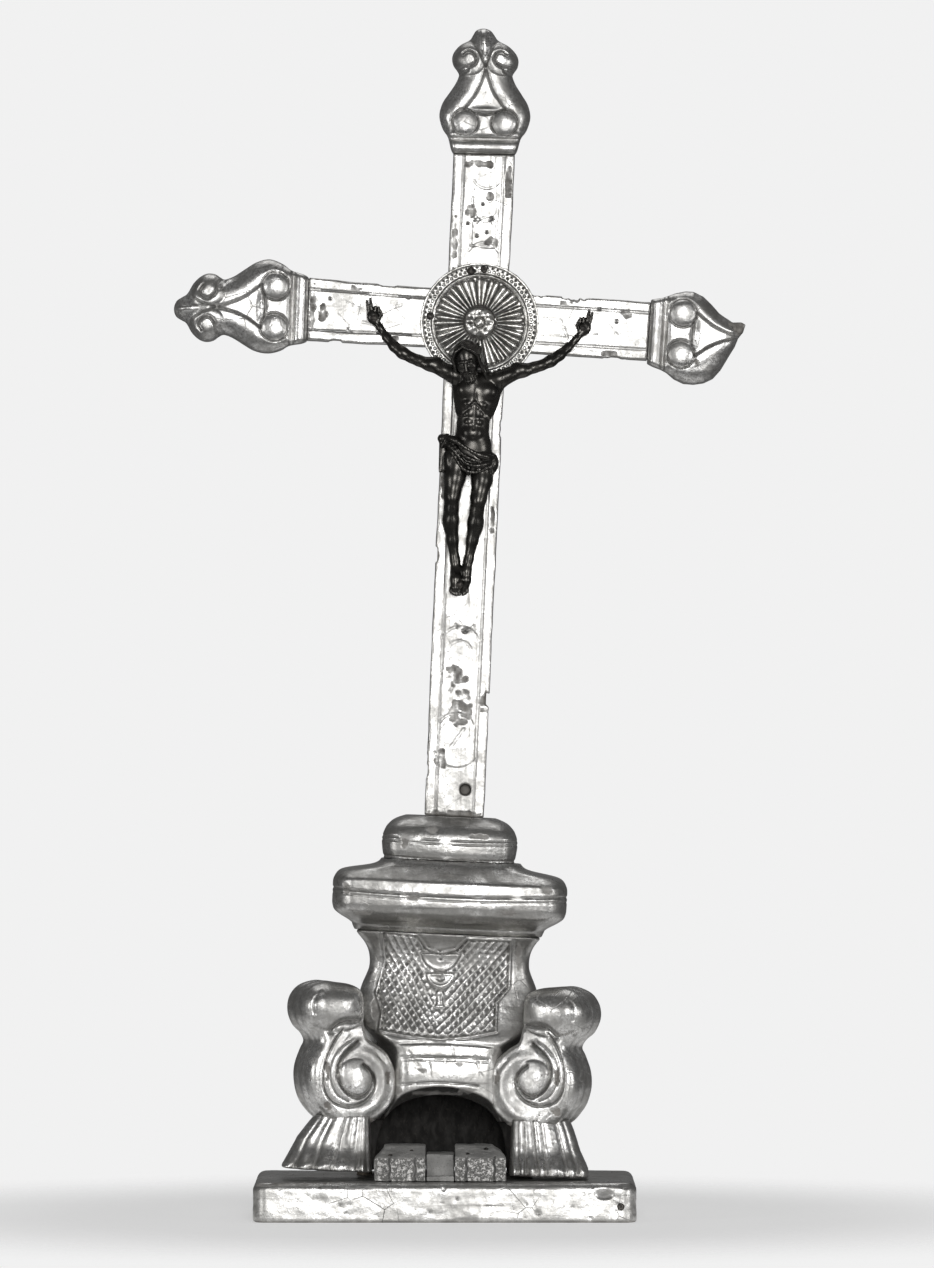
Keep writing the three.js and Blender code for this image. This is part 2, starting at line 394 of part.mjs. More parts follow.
// ---------------------------------------------------------------- cast figure
// Positions in the cross frame: x across, z above the shoulder, y out of the upright's face (-6.5 is the face).
{
  const V = (x, y, z) => new THREE.Vector3(x, y, z);
  // A limb along points [x, y, z, radius], as one skin of rings square to the path.
  const chain = (pts, n = 8) => {
    const v = [], idx = [];
    const P = pts.map((p) => V(p[0], p[1], p[2]));
    P.forEach((p, i) => {
      const d = (P[i + 1] || p).clone().sub(P[i - 1] || p).normalize();
      const u = V(0, 1, 0).addScaledVector(d, -d.y).normalize();
      const w = d.clone().cross(u);
      const ring = (r, off) => {
        for (let k = 0; k < n; k++) {
          const a = (k / n) * 2 * Math.PI;
          v.push(...p.clone().addScaledVector(d, off).addScaledVector(u, r * Math.cos(a)).addScaledVector(w, r * Math.sin(a)).toArray());
        }
      };
      const r = pts[i][3];
      if (i === 0) ring(r * 0.6, -r * 0.8);
      ring(r, 0);
      if (i === P.length - 1) ring(r * 0.6, r * 0.8);
    });
    const rows = v.length / 3 / n;
    for (let i = 0; i + 1 < rows; i++) for (let k = 0; k < n; k++) { const a = i * n + k, b = i * n + ((k + 1) % n); idx.push(a, b, b + n, a, b + n, a + n); }
    for (let k = 1; k + 1 < n; k++) { idx.push(0, k + 1, k); const o = (rows - 1) * n; idx.push(o, o + k, o + k + 1); }
    const s = solid(new THREE.BufferGeometry().setAttribute("position", new THREE.Float32BufferAttribute(v, 3)).setIndex(idx));
    return s;
  };
  // trunk
  let body = solid(ball(2.4, -17, 211.5, 11.4, 6.6, 11.4, 12));
  body = plus(body, solid(ball(1.0, -15.6, 199, 9.6, 5.8, 12, 12)), solid(ball(0.8, -14.6, 187, 10.6, 6, 9.5, 12)));
  body = plus(body, chain([[-9, -16.6, 219.5, 4.2], [12, -16.6, 218.6, 4.4]]), chain([[0.5, -18.6, 214, 4], [-1.6, -21, 223, 4]]));
  body = plus(body, solid(ball(-2.8, -22.2, 228.5, 6.8, 7, 8.6, 12)), solid(ball(-2.2, -19.4, 226.5, 8.4, 5.6, 9.4, 10)));
  body = plus(body, solid(ball(-0.6, -14.2, 180, 12.8, 7, 7.5, 12)), solid(ball(-13, -15, 187, 2.6, 3.2, 3.6, 8)), chain([[-13, -14.6, 185, 2.2], [-12.8, -14, 173, 1.9]]));
  body = plus(body, chain([[-6.4, -14.4, 178, 6], [-8.2, -16.4, 164, 5], [-8.2, -17, 157.5, 4], [-7.6, -14.4, 145.7, 3.7], [-6, -12, 133.5, 2.8], [-4.2, -11.2, 125.5, 2.7], [-3.2, -12.4, 117.5, 3.2], [-2.9, -12.6, 112, 3]]));
  body = plus(body, chain([[6.4, -14.4, 178, 6], [6.2, -16.4, 164.5, 5], [4.8, -17, 157.5, 4], [3.6, -14.4, 146.2, 3.9], [2.1, -12.6, 133.9, 2.8], [1, -12.8, 126.7, 2.7], [-0.6, -15, 117, 3.1], [-2.4, -15.6, 111.5, 2.8]]));
  const shoulderCut = (x, s) => solid(box(s > 0 ? x : x - 40, s > 0 ? x + 40 : x, -40, 0, 190, 240));
  body = minus(body, shoulderCut(14, 1), shoulderCut(-10.6, -1));
  body = minus(body, solid(box(-60, 60, -9.2 + 2.0, 20, 60, 260)));
  const footC = [footNailX, -16.6, footNailZ];
  body = minus(body, hole([footNailX, -15.9, footNailZ], [0, -1, 0], { len: 20, shank: 0.8 }));
  // arms, cast apart and let on at the shoulders
  const cut = (s) => minus(s, solid(box(-80, 80, -7.1, 20, 150, 300)));
  let leftArm = chain([[-7, -16.6, 220, 4.1], [-13.5, -16.4, 222.4, 4], [-22.4, -15.6, 225.2, 3.4], [-31.8, -14.6, 228.3, 3.1], [-38.5, -13, 232, 3], [-44.4, -11, 237.9, 2.2], [-48.7, -9.9, 243.3, 2.3], [-51.3, -9.3, 247.6, 2.8], [-52.6, -9.2, 251, 2.4], [-53.7, -9.4, 254.4, 1.2]]);
  leftArm = minus(leftArm, shoulderCut(-10.9, 1));
  let rightArm = chain([[10.5, -16.6, 219.4, 4.3], [16.5, -16.4, 221.6, 4.2], [22.5, -15.6, 223.8, 3.5], [33.6, -14.6, 227.4, 3.2], [40.5, -13, 231.6, 3], [46.4, -11, 237, 2.4], [50.8, -9.9, 241.9, 2.4], [53.8, -9.3, 246.6, 2.8], [56, -9.2, 250, 2.4], [58.4, -9.4, 252.2, 1.2]]);
  rightArm = minus(rightArm, shoulderCut(14.3, -1));
  leftArm = cut(leftArm);
  rightArm = cut(rightArm);
  const nails = {};
  for (const [name, [x, z]] of Object.entries(handNails)) {
    const p = new THREE.Vector3(x, -12, z).applyMatrix4(armToCross);
    nails[name] = p;
    const c = hole(p.toArray(), [0, -1, 0], { len: 14 });
    if (x < 0) leftArm = minus(leftArm, c);
    else rightArm = minus(rightArm, c);
    add(cross, name, nail(p.toArray(), [0, -1, 0], { len: 12.5, head: 1.7, rise: 0.9, lift: 0.3 }), IRON);
  }
  add(cross, "feet_nail", nail([footNailX, -17.9, footNailZ], [0, -1, 0], { len: 18.5, head: 1.8, rise: 1, shank: 0.8, lift: 0.3 }), IRON);
  add(cross, "figure_body", body, BRONZE);
  add(cross, "figure_left_arm", leftArm, BRONZE);
  add(cross, "figure_right_arm", rightArm, BRONZE);
}

export default root;
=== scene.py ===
"""Looks of the altar cross: carved and silvered wood, pressed rosette, dark cast figure. Lengths below are in millimetres."""
import bpy
import math
import numpy as np
from mathutils import Matrix, Vector

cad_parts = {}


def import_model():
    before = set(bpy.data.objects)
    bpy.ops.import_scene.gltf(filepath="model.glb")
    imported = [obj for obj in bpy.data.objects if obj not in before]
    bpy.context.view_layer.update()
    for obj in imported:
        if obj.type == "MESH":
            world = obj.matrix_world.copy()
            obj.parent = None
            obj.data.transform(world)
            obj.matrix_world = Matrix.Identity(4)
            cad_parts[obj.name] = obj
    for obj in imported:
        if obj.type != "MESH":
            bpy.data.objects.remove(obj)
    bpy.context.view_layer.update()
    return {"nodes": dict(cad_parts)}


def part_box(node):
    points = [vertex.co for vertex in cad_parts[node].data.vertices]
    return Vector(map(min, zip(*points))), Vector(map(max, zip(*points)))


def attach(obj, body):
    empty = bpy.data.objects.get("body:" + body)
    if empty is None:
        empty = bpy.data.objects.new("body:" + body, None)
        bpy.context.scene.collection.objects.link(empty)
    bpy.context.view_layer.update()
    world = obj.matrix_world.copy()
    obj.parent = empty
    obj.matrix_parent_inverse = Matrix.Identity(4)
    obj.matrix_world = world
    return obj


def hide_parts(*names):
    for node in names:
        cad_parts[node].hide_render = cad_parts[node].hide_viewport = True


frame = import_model()
Q = 1.0
f32 = np.float32


# ------------------------------------------------------------------ frames of the parts, as in the model
def T(x, y, z):
    return Matrix.Translation((x, y, z))


def RY(d):
    return Matrix.Rotation(math.radians(d), 4, "Y")


def RZ(d):
    return Matrix.Rotation(math.radians(d), 4, "Z")


M_ROOT = Matrix()
M_PED = T(73, 0, 20.3) @ RY(1.2) @ T(-73, 0, -20.3)
M_CAP = T(4.5, 9, 200) @ RY(2.6)
M_ARM = M_CAP @ T(0, 0, 248.7) @ RY(1.1)
M_TOPF = M_CAP @ T(0, 0, 332.2) @ RY(-1.4)
M_LFIN = M_ARM @ T(-84.8, 0, 0) @ RY(-91.6)
M_RFIN = M_ARM @ T(86.7, 0, 0) @ RY(90)
M_LCON = M_PED @ T(-41.7, -32, 65.3) @ RZ(25)
M_RCON = M_PED @ T(41.2, -32, 64.6) @ RZ(-25)


# ------------------------------------------------------------------ small numeric toolkit
def spline(P, per=8, closed=False):
    P = np.array(P, float)
    Pm = np.vstack([P[-1], P, P[0], P[1]]) if closed else np.vstack([2 * P[0] - P[1], P, 2 * P[-1] - P[-2]])
    t = np.linspace(0, 1, per, endpoint=False)[:, None]
    out = []
    for i in range(len(Pm) - 3):
        a, b, c, d = Pm[i:i + 4]
        out.append(0.5 * (2 * b + (c - a) * t + (2 * a - 5 * b + 4 * c - d) * t * t + (-a + 3 * b - 3 * c + d) * t ** 3))
    out = np.vstack(out)
    return out if closed else np.vstack([out, P[-1]])


def poly(P, X, Z):
    """Signed distance to a closed polygon, negative inside."""
    P = np.asarray(P, f32)
    X, Z = np.broadcast_arrays(np.asarray(X, f32), np.asarray(Z, f32))
    d2 = np.full(X.shape, 1e9, f32)
    odd = np.zeros(X.shape, bool)
    for a, b in zip(P, np.roll(P, -1, 0)):
        ex, ez = b - a
        wx, wz = X - a[0], Z - a[1]
        t = np.clip((wx * ex + wz * ez) / max(float(ex * ex + ez * ez), 1e-9), 0, 1)
        d2 = np.minimum(d2, (wx - t * ex) ** 2 + (wz - t * ez) ** 2)
        if ez != 0:
            odd ^= ((Z >= a[1]) != (Z >= b[1])) & (wx < ex * wz / ez)
    return np.where(odd, -1, 1).astype(f32) * np.sqrt(d2)


def line(P, X, Z):
    """Distance to an open polyline."""
    P = np.asarray(P, f32)
    X, Z = np.broadcast_arrays(np.asarray(X, f32), np.asarray(Z, f32))
    d2 = np.full(X.shape, 1e9, f32)
    for a, b in zip(P[:-1], P[1:]):
        ex, ez = b - a
        wx, wz = X - a[0], Z - a[1]
        t = np.clip((wx * ex + wz * ez) / max(float(ex * ex + ez * ez), 1e-9), 0, 1)
        d2 = np.minimum(d2, (wx - t * ex) ** 2 + (wz - t * ez) ** 2)
    return np.sqrt(d2)


def gauss(d, s):
    return np.exp(-(d / s) ** 2)


def step(a, b, x):
    t = np.clip((x - a) / (b - a), 0, 1)
    return t * t * (3 - 2 * t)


def smin(a, b, k):
    h = np.maximum(k - np.abs(a - b), 0) / k
    return np.minimum(a, b) - h * h * k * 0.25


def smax(a, b, k):
    return -smin(-a, -b, k)


def noise(ax, scale, seed):
    """Smooth random field of about -1..1 on the grid of three axes; scale is one number or three."""
    sc = np.broadcast_to(np.asarray(scale, float), (3,))
    rs = np.random.RandomState(seed)
    W = []
    for a, s in zip(ax, sc):
        u = np.asarray(a, float) / s
        lo = math.floor(u.min()) - 1
        n = math.floor(u.max()) - lo + 4
        W.append((u, lo, n))
    R = rs.uniform(-1.6, 1.6, [w[2] for w in W])
    for u, lo, n in W:
        i = np.floor(u).astype(int)
        t = u - i
        m = np.zeros((len(u), n))
        r = np.arange(len(u))
        for k, c in enumerate([(1 - t) ** 3 / 6, (3 * t ** 3 - 6 * t * t + 4) / 6, (-3 * t ** 3 + 3 * t * t + 3 * t + 1) / 6, t ** 3 / 6]):
            m[r, i - lo - 1 + k] = c
        R = np.tensordot(R, m, axes=(0, 1))
    return (R * 1.7).astype(f32)


def noise2(a, b, scale, seed):
    return noise([a, b, np.zeros(1)], [*(np.broadcast_to(scale, (2,))), 1], seed)[:, :, 0]


class Vol:
    """A signed distance grid with its axes; F is negative inside."""

    def __init__(s, lo, hi, h):
        s.h = h * Q
        s.ax = [np.arange(l - 2.5 * s.h, u + 3.5 * s.h, s.h, dtype=f32) for l, u in zip(lo, hi)]
        s.F = np.full([len(a) for a in s.ax], 9.0, f32)

    @property
    def X(s):
        return s.ax[0][:, None, None]

    @property
    def Y(s):
        return s.ax[1][None, :, None]

    @property
    def Z(s):
        return s.ax[2][None, None, :]

    def part(s, lo, hi):
        sl = tuple(slice(int(np.searchsorted(a, l)), int(np.searchsorted(a, u))) for a, l, u in zip(s.ax, lo, hi))
        return sl, s.ax[0][sl[0]][:, None, None], s.ax[1][sl[1]][None, :, None], s.ax[2][sl[2]][None, None, :]

    def join(s, d, sl=None, k=0.8):
        sl = sl or (slice(None),) * 3
        s.F[sl] = smin(s.F[sl], d, k) if k else np.minimum(s.F[sl], d)

    def cut(s, d, sl=None, k=0.5):
        sl = sl or (slice(None),) * 3
        s.F[sl] = smax(s.F[sl], -d, k) if k else np.maximum(s.F[sl], -d)

    def ball(s, c, r, k=0.8, rot=None, cut=False):
        """An ellipsoid; rot is a 3x3 matrix turning its axes."""
        r = np.broadcast_to(np.asarray(r, float), (3,))
        m = float(max(r)) + k + 2 * s.h
        sl, X, Y, Z = s.part([c[i] - m for i in range(3)], [c[i] + m for i in range(3)])
        p = [X - c[0], Y - c[1], Z - c[2]]
        if rot is not None:
            rot = np.asarray(rot, float)
            p = [p[0] * f32(rot[0][i]) + p[1] * f32(rot[1][i]) + p[2] * f32(rot[2][i]) for i in range(3)]
        q = [p[i] / f32(r[i]) for i in range(3)]
        k0 = np.sqrt(q[0] ** 2 + q[1] ** 2 + q[2] ** 2)
        k1 = np.sqrt((q[0] / f32(r[0])) ** 2 + (q[1] / f32(r[1])) ** 2 + (q[2] / f32(r[2])) ** 2)
        d = (k0 * (k0 - 1) / np.maximum(k1, 1e-6)).astype(f32)
        (s.cut if cut else s.join)(d, sl, k)

    def limb(s, a, b, ra, rb, k=0.8, flat=None, cut=False):
        """A round cone from a to b."""
        a, b = np.asarray(a, float), np.asarray(b, float)
        R = max(ra, rb) + k + 2 * s.h
        sl, X, Y, Z = s.part(np.minimum(a, b) - R, np.maximum(a, b) + R)
        e = b - a
        L2 = float(e @ e)
        px, py, pz = X - f32(a[0]), Y - f32(a[1]), Z - f32(a[2])
        t = np.clip((px * f32(e[0]) + py * f32(e[1]) + pz * f32(e[2])) / f32(L2), 0, 1)
        d = np.sqrt((px - t * f32(e[0])) ** 2 + (py - t * f32(e[1])) ** 2 + (pz - t * f32(e[2])) ** 2) - (ra + (rb - ra) * t)
        (s.cut if cut else s.join)(d.astype(f32), sl, k)

    def chain(s, pts, k=0.8):
        for p, q in zip(pts[:-1], pts[1:]):
            s.limb(p[:3], q[:3], p[3], q[3], k)


CORNERS = [(0, 0, 0), (1, 0, 0), (0, 1, 0), (1, 1, 0), (0, 0, 1), (1, 0, 1), (0, 1, 1), (1, 1, 1)]
EDGES = [(0, 1), (2, 3), (4, 5), (6, 7), (0, 2), (1, 3), (4, 6), (5, 7), (0, 4), (1, 5), (2, 6), (3, 7)]


def nets(F):
    """Surface nets: vertices in grid units and quads facing out."""
    ins = F < 0
    n = F.shape
    cnt = np.zeros([k - 1 for k in n], np.uint8)
    for c in CORNERS:
        cnt += ins[c[0]:n[0] - 1 + c[0], c[1]:n[1] - 1 + c[1], c[2]:n[2] - 1 + c[2]]
    act = (cnt > 0) & (cnt < 8)
    idx = np.full(act.shape, -1, np.int64)
    cells = np.argwhere(act)
    idx[act] = np.arange(len(cells))
    vals = [F[cells[:, 0] + c[0], cells[:, 1] + c[1], cells[:, 2] + c[2]] for c in CORNERS]
    P = np.zeros((len(cells), 3))
    w = np.zeros(len(cells))
    for i, j in EDGES:
        a, b = vals[i], vals[j]
        m = (a < 0) != (b < 0)
        t = a[m] / (a[m] - b[m])
        P[m] += np.array(CORNERS[i]) + t[:, None] * (np.array(CORNERS[j]) - np.array(CORNERS[i]))
        w[m] += 1
    P = cells + P / w[:, None]
    quads = []
    for ax in range(3):
        u, v = (ax + 1) % 3, (ax + 2) % 3
        a = np.take(ins, range(n[ax] - 1), ax)
        b = np.take(ins, range(1, n[ax]), ax)
        e = np.argwhere(a != b)
        e = e[(e[:, u] > 0) & (e[:, v] > 0) & (e[:, u] < n[u] - 1) & (e[:, v] < n[v] - 1)]
        out = a[e[:, 0], e[:, 1], e[:, 2]]
        du, dv = np.eye(3, dtype=int)[u], np.eye(3, dtype=int)[v]
        q = [e - du - dv, e - dv, e, e - du]
        q = np.stack([idx[k[:, 0], k[:, 1], k[:, 2]] for k in q], 1)
        q[~out] = q[~out][:, ::-1]
        quads.append(q)
    return P, np.vstack(quads)


def smooth_over(val, E, n, rounds):
    deg = np.bincount(E.ravel(), minlength=n).astype(float)
    for _ in range(rounds):
        acc = np.bincount(E[:, 0], val[E[:, 1]], n) + np.bincount(E[:, 1], val[E[:, 0]], n)
        val = 0.5 * val + 0.5 * acc / np.maximum(deg, 1)
    return val


def curvature(P, quads, h):
    """Signed bend at each vertex, positive on ridges: sharp scale and broad scale."""
    n = len(P)
    E = np.unique(np.sort(np.vstack([quads[:, [0, 1]], quads[:, [1, 2]], quads[:, [2, 3]], quads[:, [3, 0]]]), 1), axis=0)
    N = np.zeros((n, 3))
    fn = np.cross(P[quads[:, 2]] - P[quads[:, 0]], P[quads[:, 3]] - P[quads[:, 1]])
    for k in range(4):
        for c in range(3):
            N[:, c] += np.bincount(quads[:, k], fn[:, c], n)
    N /= np.maximum(np.linalg.norm(N, axis=1), 1e-12)[:, None]
    deg = np.bincount(E.ravel(), minlength=n).astype(float)
    S = P.copy()
    out = []
    for rounds in (2, 10):
        for _ in range(rounds):
            acc = np.stack([np.bincount(E[:, 0], S[E[:, 1], c], n) + np.bincount(E[:, 1], S[E[:, 0], c], n) for c in range(3)], 1)
            S = 0.5 * S + 0.5 * acc / deg[:, None]
        out.append(((P - S) * N).sum(1) / h)
    return smooth_over(out[0], E, n, 1), smooth_over(out[1], E, n, 2)


def put(name, P, faces, M, body, mat, nodes, attrs=None, smooth=True):
    """A finished piece from vertices in the part's own millimetres."""
    A = np.array(M, float)
    V = (P @ A[:3, :3].T + A[:3, 3]) * 0.001
    me = bpy.data.meshes.new(name)
    faces = np.asarray(faces)
    if faces.dtype != object and faces.ndim == 2:
        k = faces.shape[1]
        me.vertices.add(len(V))
        me.vertices.foreach_set("co", V.astype(f32).ravel())
        me.loops.add(faces.size)
        me.loops.foreach_set("vertex_index", faces.astype(np.int32).ravel())
        me.polygons.add(len(faces))
        me.polygons.foreach_set("loop_start", np.arange(0, faces.size, k, dtype=np.int32))
    else:
        me.from_pydata([tuple(v) for v in V], [], [tuple(int(i) for i in f) for f in faces])
    me.update(calc_edges=True)
    me.validate()
    me.polygons.foreach_set("use_smooth", np.full(len(me.polygons), smooth))
    for key, val in (attrs or {}).items():
        at = me.attributes.new(key, "FLOAT", "POINT")
        at.data.foreach_set("value", np.asarray(val, f32))
    me.materials.append(mat)
    ob = bpy.data.objects.new(name, me)
    bpy.context.scene.collection.objects.link(ob)
    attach(ob, body)
    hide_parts(*nodes)
    return ob


def carve(name, v, M, body, mat, nodes, raw=None):
    """Skins a grid and gives it its curvature attributes, used for wear and for painted shade in the hollows, and its
    bare-wood mask.
    """
    P, q = nets(v.F)
    cv, cav = curvature(P, q, 1.0)
    P = P * v.h + np.array([a[0] for a in v.ax])
    attrs = {"cv": np.clip(cv * 3.0, -1, 1), "cav": np.clip(cav * 1.2, -1, 1)}
    attrs["raw"] = np.clip(raw(P), 0, 1) if raw else np.zeros(len(P))
    return put(name, P, q, M, body, mat, nodes, attrs)


def slab(v, S, yf, yb, R, rb=0.8):
    """An outline S (negative inside) extruded from the front height yf to the back yb, its front edge rounded by R."""
    S = S[:, None, :] if S.ndim == 2 else S
    yf = yf[:, None, :] if np.ndim(yf) == 2 else yf
    yb = yb[:, None, :] if np.ndim(yb) == 2 else yb
    a, b = S + R, (yf - v.Y) + R
    front = np.sqrt(np.maximum(a, 0) ** 2 + np.maximum(b, 0) ** 2) + np.minimum(np.maximum(a, b), 0) - R
    a, b = S + rb, (v.Y - yb) + rb
    back = np.sqrt(np.maximum(a, 0) ** 2 + np.maximum(b, 0) ** 2) + np.minimum(np.maximum(a, b), 0) - rb
    return np.maximum(front, back).astype(f32)


# ------------------------------------------------------------------ materials
class Net:
    def __init__(s, name):
        s.m = bpy.data.materials.new(name)
        s.m.use_nodes = True
        s.t = s.m.node_tree
        s.b = s.t.nodes["Principled BSDF"]
        s.co = s.new("ShaderNodeTexCoord").outputs["Object"]

    def new(s, kind, **kw):
        n = s.t.nodes.new(kind)
        for k, v in kw.items():
            setattr(n, k, v)
        return n

    def link(s, a, b):
        s.t.links.new(a, b)

    def setin(s, n, key, v):
        if isinstance(v, bpy.types.NodeSocket):
            s.link(v, n.inputs[key])
        else:
            n.inputs[key].default_value = v

    def math(s, op, a, b=None, c=None, clamp=False):
        n = s.new("ShaderNodeMath", operation=op, use_clamp=clamp)
        for i, v in enumerate((a, b, c)):
            if v is not None:
                s.setin(n, i, v)
        return n.outputs[0]

    def attr(s, name):
        return s.new("ShaderNodeAttribute", attribute_name=name).outputs["Fac"]

    def scaled(s, v):
        n = s.new("ShaderNodeVectorMath", operation="MULTIPLY")
        s.link(s.co, n.inputs[0])
        n.inputs[1].default_value = v
        return n.outputs[0]

    def noise(s, scale, detail=3, rough=0.55, vec=None, dist=0.0, out="Fac"):
        n = s.new("ShaderNodeTexNoise")
        s.link(vec or s.co, n.inputs["Vector"])
        n.inputs["Scale"].default_value = scale
        n.inputs["Detail"].default_value = detail
        n.inputs["Roughness"].default_value = rough
        n.inputs["Distortion"].default_value = dist
        return n.outputs[out]

    def cells(s, scale, vec=None, feature="F1", rnd=1.0):
        n = s.new("ShaderNodeTexVoronoi", feature=feature)
        s.link(vec or s.co, n.inputs["Vector"])
        n.inputs["Scale"].default_value = scale
        n.inputs["Randomness"].default_value = rnd
        return n.outputs["Distance"]

    def ramp(s, x, lo, hi, a=0.0, b=1.0, smooth=True):
        n = s.new("ShaderNodeMapRange", interpolation_type="SMOOTHSTEP" if smooth else "LINEAR")
        s.setin(n, "Value", x)
        n.inputs["From Min"].default_value, n.inputs["From Max"].default_value = lo, hi
        n.inputs["To Min"].default_value, n.inputs["To Max"].default_value = a, b
        return n.outputs["Result"]

    def mix(s, f, a, b):
        n = s.new("ShaderNodeMix", data_type="RGBA")
        s.setin(n, 0, f)
        for i, v in ((6, a), (7, b)):
            if isinstance(v, (tuple, list)) and len(v) == 3:
                v = (*v, 1)
            s.setin(n, i, v)
        return n.outputs[2]

    def blendf(s, f, a, b):
        n = s.new("ShaderNodeMix", data_type="FLOAT")
        s.setin(n, 0, f)
        s.setin(n, 2, a)
        s.setin(n, 3, b)
        return n.outputs[0]

    def bump(s, h, strength, dist, normal=None):
        n = s.new("ShaderNodeBump")
        s.link(h, n.inputs["Height"])
        n.inputs["Strength"].default_value = strength
        n.inputs["Distance"].default_value = dist
        if normal is not None:
            s.link(normal, n.inputs["Normal"])
        return n.outputs[0]

    def done(s, color, rough, metal, normal):
        for k, v in (("Base Color", color), ("Roughness", rough), ("Metallic", metal), ("Normal", normal)):
            s.setin(s.b, k, v)
        return s.m


def silver(name, tarnish=0.0, grain=(1, 1, 1), worn=0.0, seed=0.0, hair=0.5, hollow_shade=0.55, crack=1.0):
    """Burnished silver leaf over gesso on wood: mottled, pitted, rubbed through on the ridges, with painted shade
    darkening the hollows.
    """
    s = Net(name)
    off = s.new("ShaderNodeVectorMath", operation="ADD")
    s.link(s.co, off.inputs[0])
    off.inputs[1].default_value = (seed, seed * 0.7, seed * 1.3)
    s.co = off.outputs[0]
    cv, cav, raw = s.attr("cv"), s.attr("cav"), s.attr("raw")
    broad = s.noise(38, 4, 0.6)
    mid = s.noise(170, 4, 0.65)
    fine = s.noise(900, 3, 0.7)
    strokes = s.noise(420, 3, 0.6, vec=s.scaled(grain))
    pits = s.ramp(s.cells(620, rnd=1.0), 0.05, 0.16)
    specks = s.math("MULTIPLY", s.math("SUBTRACT", 1.0, pits), s.ramp(s.noise(260, 2), 0.47, 0.6))
    cracks = s.math("MULTIPLY", s.ramp(s.cells(75, feature="DISTANCE_TO_EDGE"), 0.0, 0.018, 1, 0), s.ramp(s.noise(28, 2), 0.5, 0.66, 0, crack))
    tone = s.math("ADD", s.math("MULTIPLY", broad, 0.5), s.math("MULTIPLY", mid, 0.5))
    leaf = s.mix(s.ramp(tone, 0.36 + tarnish * 0.12, 0.62 + tarnish * 0.2), (0.36, 0.355, 0.34), (0.86, 0.855, 0.84))
    leaf = s.mix(s.ramp(fine, 0.3, 0.62), (0.42, 0.41, 0.395), leaf)
    leaf = s.mix(s.math("MULTIPLY", s.ramp(strokes, 0.56, 0.7), hair), leaf, (0.2, 0.195, 0.185))
    # rubbed through to bole and wood on ridges and at random patches
    edge = s.math("ADD", cv, s.math("MULTIPLY", s.math("SUBTRACT", mid, 0.5), 1.3))
    rub = s.ramp(edge, 0.62 - worn * 0.25, 0.95 - worn * 0.25)
    patch = s.ramp(s.math("ADD", s.math("MULTIPLY", broad, 0.55), s.math("MULTIPLY", s.noise(310, 5, 0.75), 0.45)), 0.615 - worn * 0.05, 0.66 - worn * 0.05)
    lost = s.math("MAXIMUM", s.math("MAXIMUM", rub, patch), raw)
    bole = s.mix(s.ramp(mid, 0.35, 0.65), (0.075, 0.066, 0.058), (0.23, 0.215, 0.195))
    chalk = s.ramp(s.math("ADD", s.noise(95, 3), s.math("MULTIPLY", raw, -0.2)), 0.56, 0.64)
    bole = s.mix(s.math("MULTIPLY", chalk, 0.75), bole, (0.5, 0.49, 0.46))
    # painted shade: the hollows are darkened as an ambient-occlusion stand-in, and real dark specks and cracks join the
    # same mask
    low = s.math("MULTIPLY", s.math("ADD", s.math("MULTIPLY", cv, 0.75), s.math("MULTIPLY", cav, hollow_shade)), -1.0)
    hollow_shade_and_specks = s.ramp(s.math("ADD", low, s.math("MULTIPLY", s.math("SUBTRACT", mid, 0.5), 0.5)), 0.1, 0.55)
    hollow_shade_and_specks = s.math("MAXIMUM", hollow_shade_and_specks, s.math("MAXIMUM", s.math("MULTIPLY", specks, 0.85), s.math("MULTIPLY", cracks, 0.9)))
    color = s.mix(s.math("MULTIPLY", lost, 0.9), leaf, bole)
    color = s.mix(s.math("MULTIPLY", hollow_shade_and_specks, 0.85), color, (0.035, 0.033, 0.03))
    dull = s.math("MAXIMUM", lost, s.math("MULTIPLY", hollow_shade_and_specks, 0.8))
    metal = s.math("MULTIPLY", s.math("SUBTRACT", 1.0, dull), 0.97)
    rough = s.math("ADD", s.blendf(dull, s.ramp(tone, 0.35, 0.65, 0.44, 0.27), 0.72), s.math("MULTIPLY", s.math("SUBTRACT", fine, 0.5), 0.16))
    h = s.math("ADD", s.math("MULTIPLY", mid, 0.6), s.math("MULTIPLY", fine, 0.16))
    h = s.math("SUBTRACT", h, s.math("ADD", s.math("MULTIPLY", lost, 0.3), s.math("MULTIPLY", s.math("ADD", specks, cracks), 0.5)))
    n = s.bump(h, 0.55, 0.0006)
    n = s.bump(s.math("ADD", broad, s.math("MULTIPLY", strokes, 0.12)), 0.35, 0.0016, n)
    return s.done(color, rough, metal, n)


def wood(name, grain=(1, 1, 0.06), dark=1.0):
    s = Net(name)
    g = s.noise(420, 4, 0.6, vec=s.scaled(grain), dist=0.4)
    fine = s.noise(1500, 2, 0.7, vec=s.scaled(grain))
    b = s.noise(45, 3)
    c = s.mix(s.ramp(g, 0.35, 0.66), (0.085 * dark, 0.07 * dark, 0.055 * dark), (0.27 * dark, 0.225 * dark, 0.175 * dark))
    c = s.mix(s.ramp(b, 0.35, 0.7, 0, 0.5), c, (0.14 * dark, 0.125 * dark, 0.105 * dark))
    c = s.mix(s.math("MULTIPLY", s.ramp(fine, 0.58, 0.7), 0.6), c, (0.04, 0.034, 0.028))
    n = s.bump(s.math("ADD", g, s.math("MULTIPLY", fine, 0.4)), 0.5, 0.0008)
    return s.done(c, s.ramp(g, 0.3, 0.7, 0.86, 0.68), 0.0, n)


